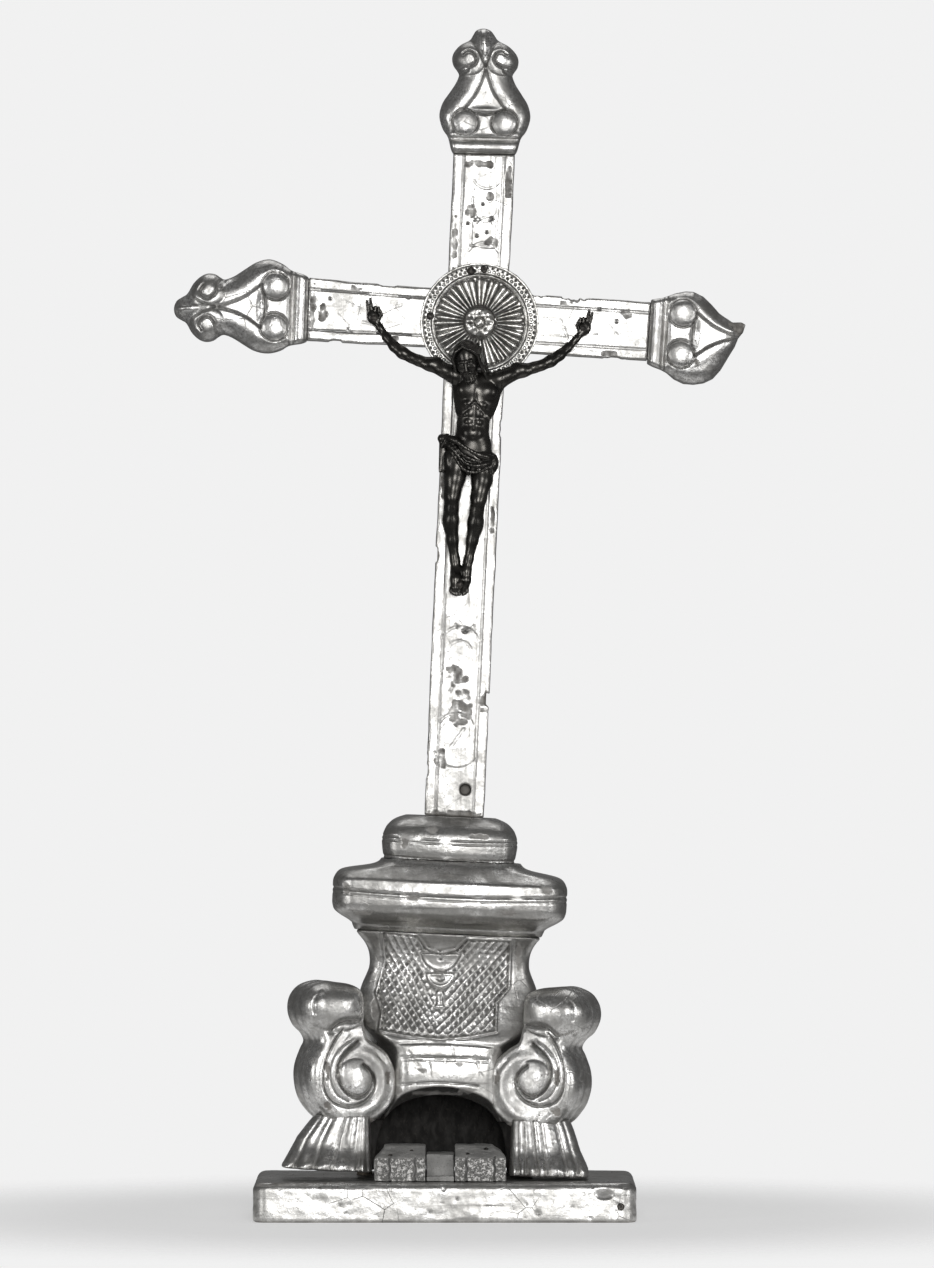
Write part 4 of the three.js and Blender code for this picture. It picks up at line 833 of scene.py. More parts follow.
def pedestal():
    v = Vol((-52, -30, 20.4), (52, 36.4, 144.6), 0.55)
    X, Y, Z = v.X, v.Y, v.Z
    x, z = v.ax[0][:, None], v.ax[2][None, :]
    up = [r for r in BODY if r[0] >= 47]
    zz = v.ax[2]
    hb, yc, hf, yfr = rows([[20, *up[0][1:]]] + up, zz)
    n1 = noise2(v.ax[0], v.ax[2], 4, 51)
    n2 = noise2(v.ax[0], v.ax[2], 1.3, 52)
    n3 = noise2(v.ax[0], v.ax[2], (22, 9), 53)
    yf = yfr[None, :] + 3.2 * (x / 36) ** 2 * step(84, 96, z) + 1.2 * (x / 30) ** 2 * step(96, 84, z) + 0.08 * n1 + 0.12 * n3
    # lattice panel with its border, lobes and tab
    pd = poly(PANEL, x, z)
    a1, a2 = math.radians(46), math.radians(-58)
    # raised diamonds: cuts in both directions, fan-bent towards the edges
    bend = 0.0035 * (x + 4) * (z - 112)
    u1 = (x * math.cos(a1 - math.pi / 2) + z * math.sin(a1 - math.pi / 2)) + 0.5 * n3 + bend * 0.4
    u2 = (x * math.cos(a2 - math.pi / 2) + z * math.sin(a2 - math.pi / 2)) + 0.5 * n3 - bend * 0.4
    p = 3.2
    t1 = np.abs(((u1 / p) % 1) - 0.5) * p
    t2 = np.abs(((u2 / p) % 1) - 0.5) * p
    left, right = step(2, -14, x), step(-10, 6, x)
    crest = np.maximum(gauss(t1, 0.62) * (0.55 + 0.45 * right), gauss(t2, 0.62) * (0.55 + 0.45 * left))
    cutdepth = (1 - crest) * (0.85 + 0.3 * n1)
    inside = step(-0.6, -1.7, pd)
    # plain medallions down the middle
    mx = -4.4
    l2 = np.maximum(np.hypot(x - mx, (z - 131.2) * 1.02) - 10.0, z - 130.6)
    l3 = np.maximum(np.hypot(x - mx, (z - 121.3) * 0.9) - 7.6, z - 120.9)
    tab = np.maximum(np.abs(x - mx) - 1.9 - 0.9 * step(106, 103.6, z), np.maximum(103.0 - z, z - 111.2))
    tab = np.minimum(tab, np.hypot(x - mx, z - 110.2) - 2.3)
    plain = np.minimum(np.minimum(l2, l3), tab)
    lat = inside * step(0.3, 1.1, plain)
    yf = yf + lat * (1.15 * cutdepth - 0.2)
    yf = yf - 0.7 * gauss(pd + 0.45, 0.5) + 0.95 * gauss(pd + 1.5, 0.4) + 0.35 * gauss(pd - 0.6, 0.4)
    for l in (l2, l3, tab):
        yf = yf + 0.75 * gauss(l, 0.42) * inside - 0.35 * gauss(l + 1.0, 0.5) * inside
    for cx, cz in ((mx, 128.6), (mx, 118.2)):
        yf = yf + 0.7 * gauss(np.hypot((x - cx), (z - cz) * 0.8), 0.9) + 0.5 * gauss(np.abs(np.hypot(x - cx, z - cz - 0.5) - 1.7), 0.3) * (z < cz + 0.3)
    arch2 = spline([(-15.6, 139.6), (-14.6, 137.4), (-10.8, 133.1), (-4.8, 131.2), (2.6, 132.9), (6.6, 136.6), (8.2, 139)], 4)
    yf = yf + 0.8 * gauss(line(arch2, x, z), 0.5)
    # engraved lines below the panel
    m = (x > -29) & (x < 21)
    for dz, dep in ((0, 0.7), (1.5, 0.45)):
        yf = yf + dep * gauss(z - 78.6 + dz + 0.0012 * (x + 4) ** 2 - 0.4 + 0.15 * n3, 0.42) * m
    yf = yf + 0.6 * gauss(z - 66.2 + 0.0035 * (x + 4) ** 2 + 0.15 * n3, 0.42) * ((x > -24) & (x < 16))
    yf = yf - 0.5 * gauss(z - 70, 5) + 0.5 * gauss(z - 86.0 + 0.002 * (x + 4) ** 2, 0.8) * (np.abs(x + 4) < 34)
    for a, b in (((-20, 82), (-14, 74)), ((2, 84.5), (3.6, 77)), ((14, 80), (17, 70)), ((-9, 76), (-8, 69)), ((-1, 79), (-1, 76))):
        yf = yf + 0.3 * gauss(line([a, b], x, z) + 0.4 * n2, 0.35)
    flake = np.clip(blob(x, z, 24.6, 80, 2.4, 6, n2) + blob(x, z, -25, 62, 3, 2, n2) + blob(x, z, 10, 62.5, 5, 1.4, n2) + blob(x, z, -4, 60.8, 14, 1.0, n2) + blob(x, z, -36.5, 100, 1.6, 7, n2)
                    + blob(x, z, 34.5, 128, 1.6, 6, n2) + blob(x, z, -12, 72, 2.2, 1.2, n2) + blob(x, z, 6, 75.5, 2.6, 1, n2), 0, 1)
    yf = yf + 0.15 * flake
    yf3 = yf[:, None, :]
    # plan section at each height: front, canted corner, side, back
    hb3, yc3, hf3, y03 = (a[None, None, :] for a in (hb, yc, hf, yfr))
    aX = np.abs(X)
    side = aX - hb3 + 0.10 * n3[:, None, :]
    ex, ey = hb3 - hf3, yc3 - (y03 + 2.6)
    L = np.sqrt(ex * ex + ey * ey)
    cant = ((aX - hf3) * ey - (Y - (y03 + 2.0)) * ex) / L
    front = yf3 - Y
    F = smax(front, cant, 3.0)
    F = smax(F, side + 0 * F, 5.0)
    F = smax(F, Y - 36, 1.2)
    # below the overhang the front is set back
    F = smax(F, np.maximum(-2.4 - Y, -99) + 0 * F - 30 * step(46.4, 47.4, Z), 0.6)
    F = np.maximum(F, 20.75 - Z)
    # cut level with the cap's underside
    A = np.array(inv_mul(M_CAP, M_PED))
    zc = A[2, 0] * X + A[2, 1] * Y + A[2, 2] * Z + A[2, 3]
    F = np.maximum(F, zc + 58.6)
    # arch with a wide soffit chamfer in front; its inner part is coloured near-black below as painted shade
    nd = poly(spline(NICHE, 3), x, z)
    front_in = np.clip((Y - (y03 + 0.5)) / 9.0, 0, 1)
    arch = nd[:, None, :] - 4.2 * (1 - front_in) * step(30, 44, Z)
    F = smax(F, -arch, 0.9)
    v.F = F.astype(f32)
    for px, py in ((-40.5, 16), (38.5, 16)):
        v.cut((np.maximum(np.hypot(X - px, Y - py) - 3.9, Z - 34.5) + 0 * v.F).astype(f32), k=0)

    def raw(P):
        r = 0.6 * sample(flake, v.ax[0], v.ax[2], P[:, 0], P[:, 2]) * (P[:, 1] < -10)
        # bare bole round the niche mouth and on the lower inside, deepening the niche as painted shade
        inner = (poly(spline(NICHE, 3), P[:, 0], P[:, 2]) < 1.6) & (P[:, 1] > -14)
        r = np.maximum(r, inner * 0.95)
        r = np.maximum(r, np.clip(P[:, 1] - 34.8, 0, 1))
        return np.maximum(r, (P[:, 2] < 46) * (P[:, 1] > -5) * 0.8)
    ob = carve("pedestal_carved_body", v, M_PED, "stand", SILVER_BASE, ["pedestal_body"], raw)
    # the niche's inner faces and the hidden lower inside take the near-black wood: painted shade
    ob.data.materials.append(WOOD_SHADE_BLACK)
    B = np.array(inv_mul(M_PED, Matrix()))
    c = np.empty(len(ob.data.polygons) * 3, f32)
    ob.data.polygons.foreach_get("center", c)
    c = c.reshape(-1, 3) * 1000 @ B[:3, :3].T + B[:3, 3]
    inner = ((poly(spline(NICHE, 3), c[:, 0], c[:, 2]) < 2.2) & (c[:, 1] > -15.5)) | ((c[:, 2] < 47.2) & (c[:, 1] > -3.2) & (c[:, 1] < 35.2) & (np.abs(c[:, 0]) < 42))
    ob.data.polygons.foreach_set("material_index", inner.astype(np.int32))
    return ob


pedestal()


# ------------------------------------------------------------------ cap and socket
def ring_block(name, node, half_rows, z0, z1, x0, yfun, corner, hole, seed, lines, extra=None, h=0.55, bow=2.2, kz=0.8, front_rows=None):
    t = np.array(half_rows, float)
    t[:, 1] += z0
    t = t[np.argsort(t[:, 1])]
    hx_max = t[:, 0].max()
    yf0, yb0 = yfun(hx_max)
    v = Vol((x0 - hx_max - 1, yf0 - 1.2, z0 - 0.2), (x0 + hx_max + 1, yb0 + 1, z1 + 0.3), h)
    X, Y, Z = v.X, v.Y, v.Z
    x, z = v.ax[0][:, None], v.ax[2][None, :]
    hx = rows([[q[1], q[0]] for q in t], v.ax[2], kz)[0]
    yf, yb = yfun(hx)
    if front_rows:
        yf = rows([[z0 + q[0], q[1]] for q in front_rows], v.ax[2], kz)[0]
    n1 = noise2(v.ax[0], v.ax[2], 5, seed)
    n2 = noise2(v.ax[0], v.ax[2], 1.3, seed + 1)
    n3 = noise2(v.ax[0], v.ax[2], (25, 8), seed + 2)
    rel = 0.10 * n1 + 0.16 * n3
    for zl, dep, wid, sag in lines:
        rel = rel + dep * gauss(z - zl + 0.15 * n3 + sag * (1 - ((x - x0) / hx_max) ** 2), wid) * step(-1.6, -0.8, n1 + n3)
    flake = extra(x, z, n2) if extra else 0 * rel
    rel = rel + 0.16 * flake
    front = yf[None, :] + bow * ((x - x0) / hx_max) ** 2 + rel
    cy = (yf[None, None, :] + yb[None, None, :]) / 2
    hy = (yb - yf)[None, None, :] / 2
    side_rel = 0 * rel
    for zl, dep, wid, sag in lines:
        side_rel = side_rel + dep * gauss(z - zl, wid) * 0.8
    qx = np.abs(X - x0) - hx[None, None, :] + corner + (0.12 * n3 + side_rel)[:, None, :]
    qy = np.where(Y < cy, front[:, None, :] - Y, Y - cy - hy) + corner
    F = np.sqrt(np.maximum(qx, 0) ** 2 + np.maximum(qy, 0) ** 2) + np.minimum(np.maximum(qx, qy), 0) - corner
    F = smax(F, np.maximum(z0 - Z, Z - z1) + 0 * F, 0.6)
    v.F = F.astype(f32)
    for g in hole(X, Y, Z):
        v.cut((g + 0 * v.F).astype(f32), k=0)

    def raw(P):
        r = 0.6 * sample(np.clip(flake, 0, 1), v.ax[0], v.ax[2], P[:, 0], P[:, 2]) * (P[:, 1] < cy.min() + 6)
        inner = (np.abs(P[:, 0]) < 10) & (np.abs(P[:, 1]) < 5.5) & (P[:, 2] < z1 - 0.3)
        return np.maximum(np.maximum(r, inner * 0.95), np.clip(P[:, 1] - yb0 + 1.2, 0, 1) * 0.9)
    return carve(name, v, M_CAP, "stand", SILVER_BASE, [node], raw)


CAPR = [[46.8, 0], [48.8, 4.2], [54, 7], [57.6, 9.6], [58.6, 13], [58.6, 24.5], [58.0, 26.6], [55.4, 29.4], [50, 30.8], [44, 31.6], [38.5, 32.8], [35.8, 34.4], [34.8, 36.1]]
CAPF = [[0, -27.4], [4.2, -29.4], [7, -34.4], [9.6, -37.9], [13, -39.2], [19, -39.4], [25.8, -39.2], [27, -37.6], [29.5, -34.4], [31.8, -31.8], [33.6, -29.9], [34.8, -29.1], [36.1, -28.7]]
MORT = lambda X, Y, Z: np.maximum(np.maximum(np.abs(X) - 9.35, np.abs(Y) - 4.85), -38.6 - Z)


def cap_holes(X, Y, Z):
    out = [MORT(X, Y, Z)]
    for px, py in ((-24.5, 9), (27.5, 9)):
        q = np.array(inv_mul(M_CAP, Matrix()) @ Vector((px, py, 142.0)))
        out.append(np.maximum(np.hypot(X - q[0], Y - q[1]) - 4.4, Z + 45.5))
    return out


def cap_flakes(x, z, n):
    return np.clip(blob(x, z, 30, -46, 6, 1.6, n) + blob(x, z, -44, -49.5, 5, 1.2, n) + blob(x, z, 8, -51.5, 8, 1.0, n) + blob(x, z, -18, -40.5, 4, 1.1, n) + blob(x, z, 48, -34, 3, 2, n)
                   + blob(x, z, -2, -29.6, 6, 1.0, n) + blob(x, z, -52, -38, 2, 3.5, n), 0, 1)


ring_block("cap_carved_moulding", "cap_moulding", CAPR, -58.4, -22.35, -0.4, lambda hx: (-39.2 + (58.5 - hx), 37 - (58.5 - hx)), 11.0, cap_holes, 61,
           [(-37.6, 0.85, 0.42, 1.9), (-40.0, 0.4, 0.4, 1.9), (-55.0, 0.35, 0.4, 0.6)], cap_flakes, bow=4.6, front_rows=CAPF)
SOCR = [[33.4, 0], [33.0, 1.6], [33.5, 4], [34, 8.5], [33.8, 11.6], [32.2, 15.5], [29.2, 18.8], [25.2, 21], [21, 21.7]]
SOCF = [[0, -28.4], [1.4, -27.4], [3.6, -28.1], [9.5, -28.3], [13, -27.7], [16, -26.2], [18.6, -23.2], [20.8, -19.4], [21.7, -15.6]]
ring_block("socket_carved_block", "socket_block", SOCR, -22.0, -0.35, -1.5, lambda hx: (-28 + (34 - hx), 28 - (34 - hx)), 8.0, lambda X, Y, Z: [MORT(X, Y, Z)], 65,
           [(-10.9, 0.6, 0.4, 1.2), (-12.8, 0.5, 0.4, 1.2), (-21.0, 0.9, 0.7, 0.6)],
           lambda x, z, n: np.clip(blob(x, z, -10, -7, 4, 1.6, n) + blob(x, z, 14, -9, 5, 1.2, n) + blob(x, z, 3, -2.8, 5, 1.2, n) + blob(x, z, -24, -14, 2, 3, n), 0, 1), h=0.45, bow=4.2, kz=0.9, front_rows=SOCF)


# ------------------------------------------------------------------ consoles
SCROLL = [[0, -21.2], [9, -20.2], [17, -15.6], [23, -8], [25.6, 1], [25.2, 9], [22.4, 16.5], [20.4, 20.5], [22.5, 24.5], [27, 28.5], [29.8, 35], [29.3, 42], [25, 47.6], [17.5, 50.2],
          [9, 50.2], [1.6, 48.6], [-2.0, 45], [-3.0, 37], [-3.4, 29], [-5.0, 22.8], [-10, 19.6], [-16.6, 14], [-20.8, 6], [-21.4, -3], [-18.6, -11.6], [-12, -17.8], [-6, -20.6]]
G1 = [(4.1, 7.05), (7.9, 4.3), (9.9, 0), (8.8, -4.3), (5.7, -7.8), (1.4, -9.2), (-3.5, -7.8), (-7.5, -3.8), (-9.2, 1.1), (-9.1, 6), (-7.05, 10.8), (-3.5, 14.6), (1.4, 18.6)]
G2 = [(9.6, 2.5), (10.7, -1.5), (10.1, -5.4), (6.6, -10.0), (1.4, -12.8), (-4.6, -13.6), (-11.1, -11.6), (-15.0, -7.7), (-16.6, -2.3), (-16.6, 4.3), (-15.0, 11.4), (-11.6, 18.4), (-7.4, 24.5)]
G3 = [(-0.6, 19.6), (-5.0, 17.6), (-9.4, 13.6), (-12.4, 8.2), (-13.2, 2.2), (-11.6, -4.0), (-8.4, -8.2), (-3.2, -11.0)]


def console(name, node, M, left, eye, k, seed):
    sg = -1.0 if left else 1.0
    v = Vol((-31.5, -5.4, -22.5), (31.5, 25.4, 51.8), 0.5)
    h, z = sg * v.ax[0][:, None], v.ax[2][None, :]
    out = spline(SCROLL, 4, closed=True)
    S = poly(out, h, z)
    n1 = noise2(v.ax[0], v.ax[2], 4, seed)
    n2 = noise2(v.ax[0], v.ax[2], 1.3, seed + 1)
    n3 = noise2(v.ax[0], v.ax[2], 12, seed + 2)
    S = S + 0.12 * n1 + 0.2 * n3
    # curves measured about the eye; x grows inwards, so it is mirrored into h
    ex, ez = eye
    tr = lambda C: np.array([(ex - cx * k, ez + cz * k) for cx, cz in C])
    g1, g2, g3 = (spline(tr(C), 5) for C in (G1, G2, G3))
    d1, d2, d3 = line(g1, h, z), line(g2, h, z), line(g3, h, z)
    re = np.hypot(h - ex, z - ez)
    yf = 0.4 + 0.1 * n1 + 0.12 * n3 + 0 * h
    yf = yf - 0.9 * gauss(np.hypot(h - 2, z), 15)
    yf = yf + 1.5 * gauss(d1, 0.95) + 1.3 * gauss(d1, 0.45)
    yf = yf + 0.5 * gauss(d2, 0.9) + 1.0 * gauss(d2, 0.42)
    yf = yf + 0.15 * gauss(d3, 0.7) + 0.55 * gauss(d3, 0.38)
    yf = yf - 1.7 * np.sqrt(np.clip(1 - (re / (10.2 * k)) ** 2, 0, 1))
    # the volute's outer coil is a rounded band
    rr = np.hypot(h - 1.6, z - 0.6)
    yf = yf - 0.9 * gauss(rr - 15.0, 3.2) * step(10, -6, h + 0 * z)
    # upper curl: a plump rolled knob, necked by an incised line
    kd = np.sqrt(((h - 12.0) / 19.5) ** 2 + ((z - 39.5) / 13.5) ** 2)
    yf = yf - 3.2 * np.sqrt(np.clip(1 - kd ** 2, 0, 1))
    cres = spline([(20.5, 45.5), (24.2, 42.6), (25.6, 38.6), (24.6, 34.6)], 4)
    yf = yf + 0.7 * gauss(line(cres, h, z), 0.7)
    neck = spline([(-1.2, 31.6), (3.5, 31.0), (8, 31.0), (12, 29.5), (14.6, 26.8)], 4)
    yf = yf + 1.2 * gauss(line(neck, h, z), 0.55) + 1.6 * gauss(line(neck, h, z), 2.4)
    yf = yf + 2.6 * step(13, 24, h + 0 * z) * gauss(z - 26, 6.5)
    for a, b in (((10, -16), (14, -12)), ((-14, 10), (-10, 14)), ((5, 24), (9, 20)), ((-2, -18), (4, -17.4))):
        yf = yf + 0.3 * gauss(line([a, b], h, z) + 0.4 * n2, 0.35)
    flake = np.clip(blob(h, z, -6, -18.5, 4, 1.2, n2) + blob(h, z, 16, -11, 2.4, 2.4, n2) + blob(h, z, 17, 6, 1.4, 5, n2) + blob(h, z, -16, 4, 1.4, 4, n2), 0, 1)
    yf = yf + 0.28 * flake
    R = 2.6 + 2.6 * step(-4, 14, h + 0 * z) + 4.4 * step(27, 36, z) * step(-6, 6, h + 0 * z) + 1.6 * step(27, 36, z)
    # the outer side carries lengthwise ridges
    wave = 0.35 * np.cos(v.ax[1] / 25.0 * 2 * math.pi * 3.0)[None, :, None] * step(6, 10, v.Y)
    F = slab(v, S, yf, 24.8, R[:, None, :], 2.6) 
    F = F + (wave * step(8, 16, (h + 0 * z))[:, None, :] * step(-20, -12, v.Z)).astype(f32)
    v.join(F.astype(f32), k=0)

    def raw(P):
        r = sample(flake, v.ax[0], v.ax[2], P[:, 0], P[:, 2]) * (P[:, 1] < 5)
        return np.maximum(r, np.clip(P[:, 1] - 23.8, 0, 1) * 0.9)
    shift = T(-2.0, 0, 0)
    return carve(name, v, shift @ M, "stand", SILVER_CONSOLE, [node], raw)


console("left_console_scroll", "left_console", M_LCON, True, (2.0, 2.3), 1.0, 71)
console("right_console_scroll", "right_console", M_RCON, False, (4.4, 4.6), 0.95, 75)


# ------------------------------------------------------------------ feet
FLUTES = {False: ((0.14, 0.028, 1.6), (0.36, 0.030, 1.6), (0.58, 0.026, 1.5), (0.86, 0.030, 1.6), (0.95, 0.02, 0.9)),
          True: ((0.13, 0.026, 1.5), (0.27, 0.024, 1.2), (0.52, 0.030, 1.5), (0.66, 0.022, 1.3), (0.79, 0.022, 1.4), (0.90, 0.022, 1.3))}
TOES = {False: ((0.25, 0.075, 2.2), (0.47, 0.075, 2.3), (0.70, 0.07, 1.6), (0.90, 0.04, 1.3), (0.05, 0.06, 1.3)),
        True: ((0.06, 0.05, 1.3), (0.20, 0.05, 1.7), (0.38, 0.08, 2.3), (0.59, 0.05, 1.7), (0.725, 0.045, 1.5), (0.845, 0.04, 1.4), (0.96, 0.04, 1.0))}


def foot(name, node, xl, xr, yfr, flip, seed, gap=None):
    zlo, zhi = 20.9, 49.5
    x0 = min(q[1] for q in xl) - 1.5
    x1 = max(q[1] for q in xr) + 1.5
    v = Vol((x0, -47, zlo), (x1, -2.6, zhi), 0.42)
    X, Y, Z = v.X, v.Y, v.Z
    z = v.ax[2]
    XL = np.interp(z, *np.array(xl, float).T)[None, None, :].astype(f32)
    XR = np.interp(z, *np.array(xr, float).T)[None, None, :].astype(f32)
    YF = rows(yfr, z, 1.5)[0][None, None, :]
    n = noise(v.ax, 5, seed) * 0.16 + noise(v.ax, 1.4, seed + 1) * 0.07
    u = (X - XL) / (XR - XL)
    if flip:
        u = 1 - u
    low = step(36, 24, Z)
    # toes and flutes: u runs from the outer edge inwards
    flutes = 0 * u
    for c, wd, dp in FLUTES[flip]:
        flutes = flutes + dp * np.exp(-(((u - c) / wd) ** 2)) * (0.45 + 0.55 * low)
    flutes = flutes + 2.2 * np.exp(-(((u - 0.74) / 0.10) ** 2)) * (1 - 0.35 * low) + 1.0 * np.exp(-(((u - 0.27) / 0.08) ** 2)) * (1 - low)
    toes = 0 * u
    for c, wd, dp in TOES[flip]:
        toes = toes + dp * np.exp(-(((u - c) / wd) ** 2))
    toes = toes * np.exp(-(((Z - 25.2) / 4.4) ** 2))
    bow = 5.0 * np.clip(np.abs(u - 0.5) * 2, 0, 1.2) ** 3
    front = YF + bow + flutes - toes
    a = front - Y
    F = smax(a, np.maximum(XL - X, X - XR) + 0 * a, 2.4)
    F = smax(F, Y + 3.2, 1.0)
    bot = 21.1 + 0 * X if gap is None else np.interp(v.ax[0], *gap).astype(f32)[:, None, None]
    F = smax(F, bot - Z + 0 * F, 1.0)
    F = smax(F, Z - 49.0 + 0 * F, 0.6)
    v.F = (F + n).astype(f32)
    return carve(name, v, M_PED, "stand", SILVER_CONSOLE, [node])


foot("left_claw_foot", "left_foot", [(21, -81.4), (23.5, -81.6), (25, -80.6), (30, -77.8), (37.4, -74.2), (44, -69.2), (50, -64.5)], [(21, -36.4), (30, -37.2), (44, -37.9), (50, -38.4)],
     [(21, -43.2), (25, -42.6), (28, -40.6), (31, -38.9), (36, -37.6), (44, -36.3), (50, -35.2)], False, 81, ([-82, -78, -60, -38], [23.4, 22.6, 22.0, 21.4]))
foot("right_claw_foot", "right_foot", [(21, 32.0), (30, 32.5), (44, 32.6), (50, 33.0)], [(21, 71.6), (24, 71.4), (26, 70.6), (34, 67.0), (44, 63.6), (50, 61)],
     [(21, -43.2), (25, -42.6), (28, -40.7), (31, -39.1), (36, -37.8), (44, -36.5), (50, -35.4)], True, 83)


# ------------------------------------------------------------------ plinth board
def plinth():
    v = Vol((-96, -61, -0.3), (96, 61, 20.4), 0.8)
    X, Y, Z = v.X, v.Y, v.Z
    nxy = noise([v.ax[0], v.ax[1], np.zeros(1)], [14, 10, 1], 91) * 0.22 + noise([v.ax[0], v.ax[1], np.zeros(1)], [3, 2, 1], 92) * 0.10
    nxz = noise([v.ax[0], np.zeros(1), v.ax[2]], [9, 1, 5], 93) * 0.28 + noise([v.ax[0], np.zeros(1), v.ax[2]], [2.0, 1, 1.6], 94) * 0.10
    qx, qy = np.abs(X) - 95 + 7, np.abs(Y) - 60 + 7
    S = np.sqrt(np.maximum(qx, 0) ** 2 + np.maximum(qy, 0) ** 2) + np.minimum(np.maximum(qx, qy), 0) - 7
    S = S + nxz * 0.8
    R = 4.2
    a, b = S + R, Z - 20 + R + nxy * 0.6 + 0.25
    top = np.sqrt(np.maximum(a, 0) ** 2 + np.maximum(b, 0) ** 2) + np.minimum(np.maximum(a, b), 0) - R
    a, b = S + 1.6, -Z + 1.6
    bot = np.sqrt(np.maximum(a, 0) ** 2 + np.maximum(b, 0) ** 2) + np.minimum(np.maximum(a, b), 0) - 1.6
    F = np.maximum(top, bot)
    rs = np.random.RandomState(95)
    F = F.astype(f32)
    v.F = F
    # chips, dents and short splits
    for c, r in (((79, -61, 14), (5, 2.6, 3)), ((90, -60, 18.6), (4, 2, 1.6)), ((-40, -61, 18), (9, 2, 1.4)), ((-62, -61, 11), (5, 1.3, 2.4)), ((46, -61.4, 5), (2, 2, 1.6)), ((10, -61, 1), (8, 1.8, 1.4)),
                 ((-95.6, -30, 17), (1.8, 8, 2)), ((95.6, 10, 6), (1.6, 6, 3)), ((-88, -57, 19.8), (4, 2, 1.2)), ((30, 61, 17), (8, 2, 2)), ((-20, -60.5, 20), (5, 1.6, 1.4))):
        v.ball(c, r, 0.6, cut=True)
    for x0, z0, x1, z1 in ((44, 19, 43, 12), (43, 12, 45, 6), (54, 13, 52, 8), (-48, 4, -40, 3.6), (75, 16, 86, 12), (20, 8, 34, 8.6)):
        v.limb((x0, -60.3, z0), (x1, -60.3, z1), 0.55, 0.45, 0.4, cut=True)
    for i in range(26):
        v.ball((rs.uniform(-90, 90), -60.2, rs.uniform(2, 17)), rs.uniform(0.4, 0.9), 0.4, cut=True)
    for px, py in ((-40.5, 16), (38.5, 16)):
        v.cut((np.maximum(np.hypot(X - px, Y - py) - 3.9, 7.0 - Z) + 0 * v.F).astype(f32), k=0)

    def raw(P):
        n = sample(nxy[:, :, 0], v.ax[0], v.ax[1], P[:, 0], P[:, 1])
        r = step(0.12, 0.3, n) * (P[:, 2] > 18) * 0.8
        under = (np.abs(P[:, 0]) < 44) & (P[:, 1] > -24) & (P[:, 1] < 36) & (P[:, 2] > 18)
        r = np.maximum(r, under * 0.9)
        return np.maximum(r, np.clip(1.2 - P[:, 2], 0, 1))
    return carve("plinth_silvered_board", v, M_ROOT, "stand", SILVER_PLINTH, ["plinth_board"], raw)


plinth()


# ------------------------------------------------------------------ painted wall blocks
def block(name, node, x0, x1, corner, cuts, seed, mid=False):
    v = Vol((x0 - 1, -55, 19.9), (x1 + 1, -19.5, 38), 0.35)
    X, Y, Z = v.X, v.Y, v.Z
    if mid:
        prof = [(-53.5, 20.2), (-53.5, 22.8), (-50, 22.8), (-50, 33.4), (-24, 33.4), (-24, 20.2)]
    else:
        prof = [(-54, 20.2), (-54, 31.6), (-52.6, 32.4), (-36, 37), (-33, 37.2), (-20, 37.2), (-20, 20.2)]
    pr = poly(np.array(prof, float), v.ax[1][:, None], v.ax[2][None, :])[None, :, :]
    n = noise(v.ax, 1.1, seed) * 0.10 + noise(v.ax, 4, seed + 1) * 0.16
    side = np.maximum(x0 - X, X - x1)
    F = smax(pr + 0 * side, side + 0 * pr, 0.7)
    if corner:
        F = smax(F, -poly(np.array(corner, float), v.ax[0][:, None], v.ax[2][None, :])[:, None, :] + 0 * F, 0.5)
    v.F = (F + n).astype(f32)
    for c in cuts:
        v.cut((np.maximum(np.abs(X - c + 0.3 * np.sin(Z * 0.9)) - 0.45, np.maximum(Y + 51.2, Z - 32.6)) + 0 * v.F).astype(f32), k=0.5)
    rs = np.random.RandomState(seed + 3)
    for i in range(26):
        v.ball((rs.uniform(x0, x1), -54.1, rs.uniform(21, 31)), rs.uniform(0.35, 0.8), 0.4, cut=True)
    for i in range(9 if not mid else 4):
        yy = rs.uniform(-50, -38)
        zz = 32.4 + (yy + 52.6) * 0.277 if not mid else 33.4
        v.ball((rs.uniform(x0 + 2, x1 - 2), yy, zz), (rs.uniform(0.7, 1.9), 0.6, 0.35), 0.3, cut=True)

    def raw(P):
        return np.zeros(len(P))
    ob = carve(name, v, M_ROOT, "stand", BLOCK_MAT if not mid else BLOCK_TOP, [node], raw)
    if not mid:
        ob.data.materials.append(BLOCK_TOP)
        k = np.empty(len(ob.data.polygons) * 3, f32)
        ob.data.polygons.foreach_get("normal", k)
        cz = np.empty(len(ob.data.polygons) * 3, f32)
        ob.data.polygons.foreach_get("center", cz)
        m = ((k.reshape(-1, 3)[:, 1] > -0.75) | (cz.reshape(-1, 3)[:, 1] > -0.0515)).astype(np.int32)
        ob.data.polygons.foreach_set("material_index", m)
    return ob


block("left_wall_stone", "left_wall_block", -35, -9.7, [(-40, 19), (-40, 40), (-29.5, 40), (-30.5, 35.6), (-33, 32.8), (-35.4, 30.6), (-35.2, 19)], (-27.4, -14.7), 101)
block("right_wall_stone", "right_wall_block", 5.1, 30.3, [(36, 19), (36, 40), (20, 40), (24.5, 36.4), (28, 33.8), (30.5, 30.6), (30.5, 19)], (10.7, 24.6), 105)
block("middle_wall_stone", "middle_wall_block", -9.2, 4.6, None, (), 109, True)


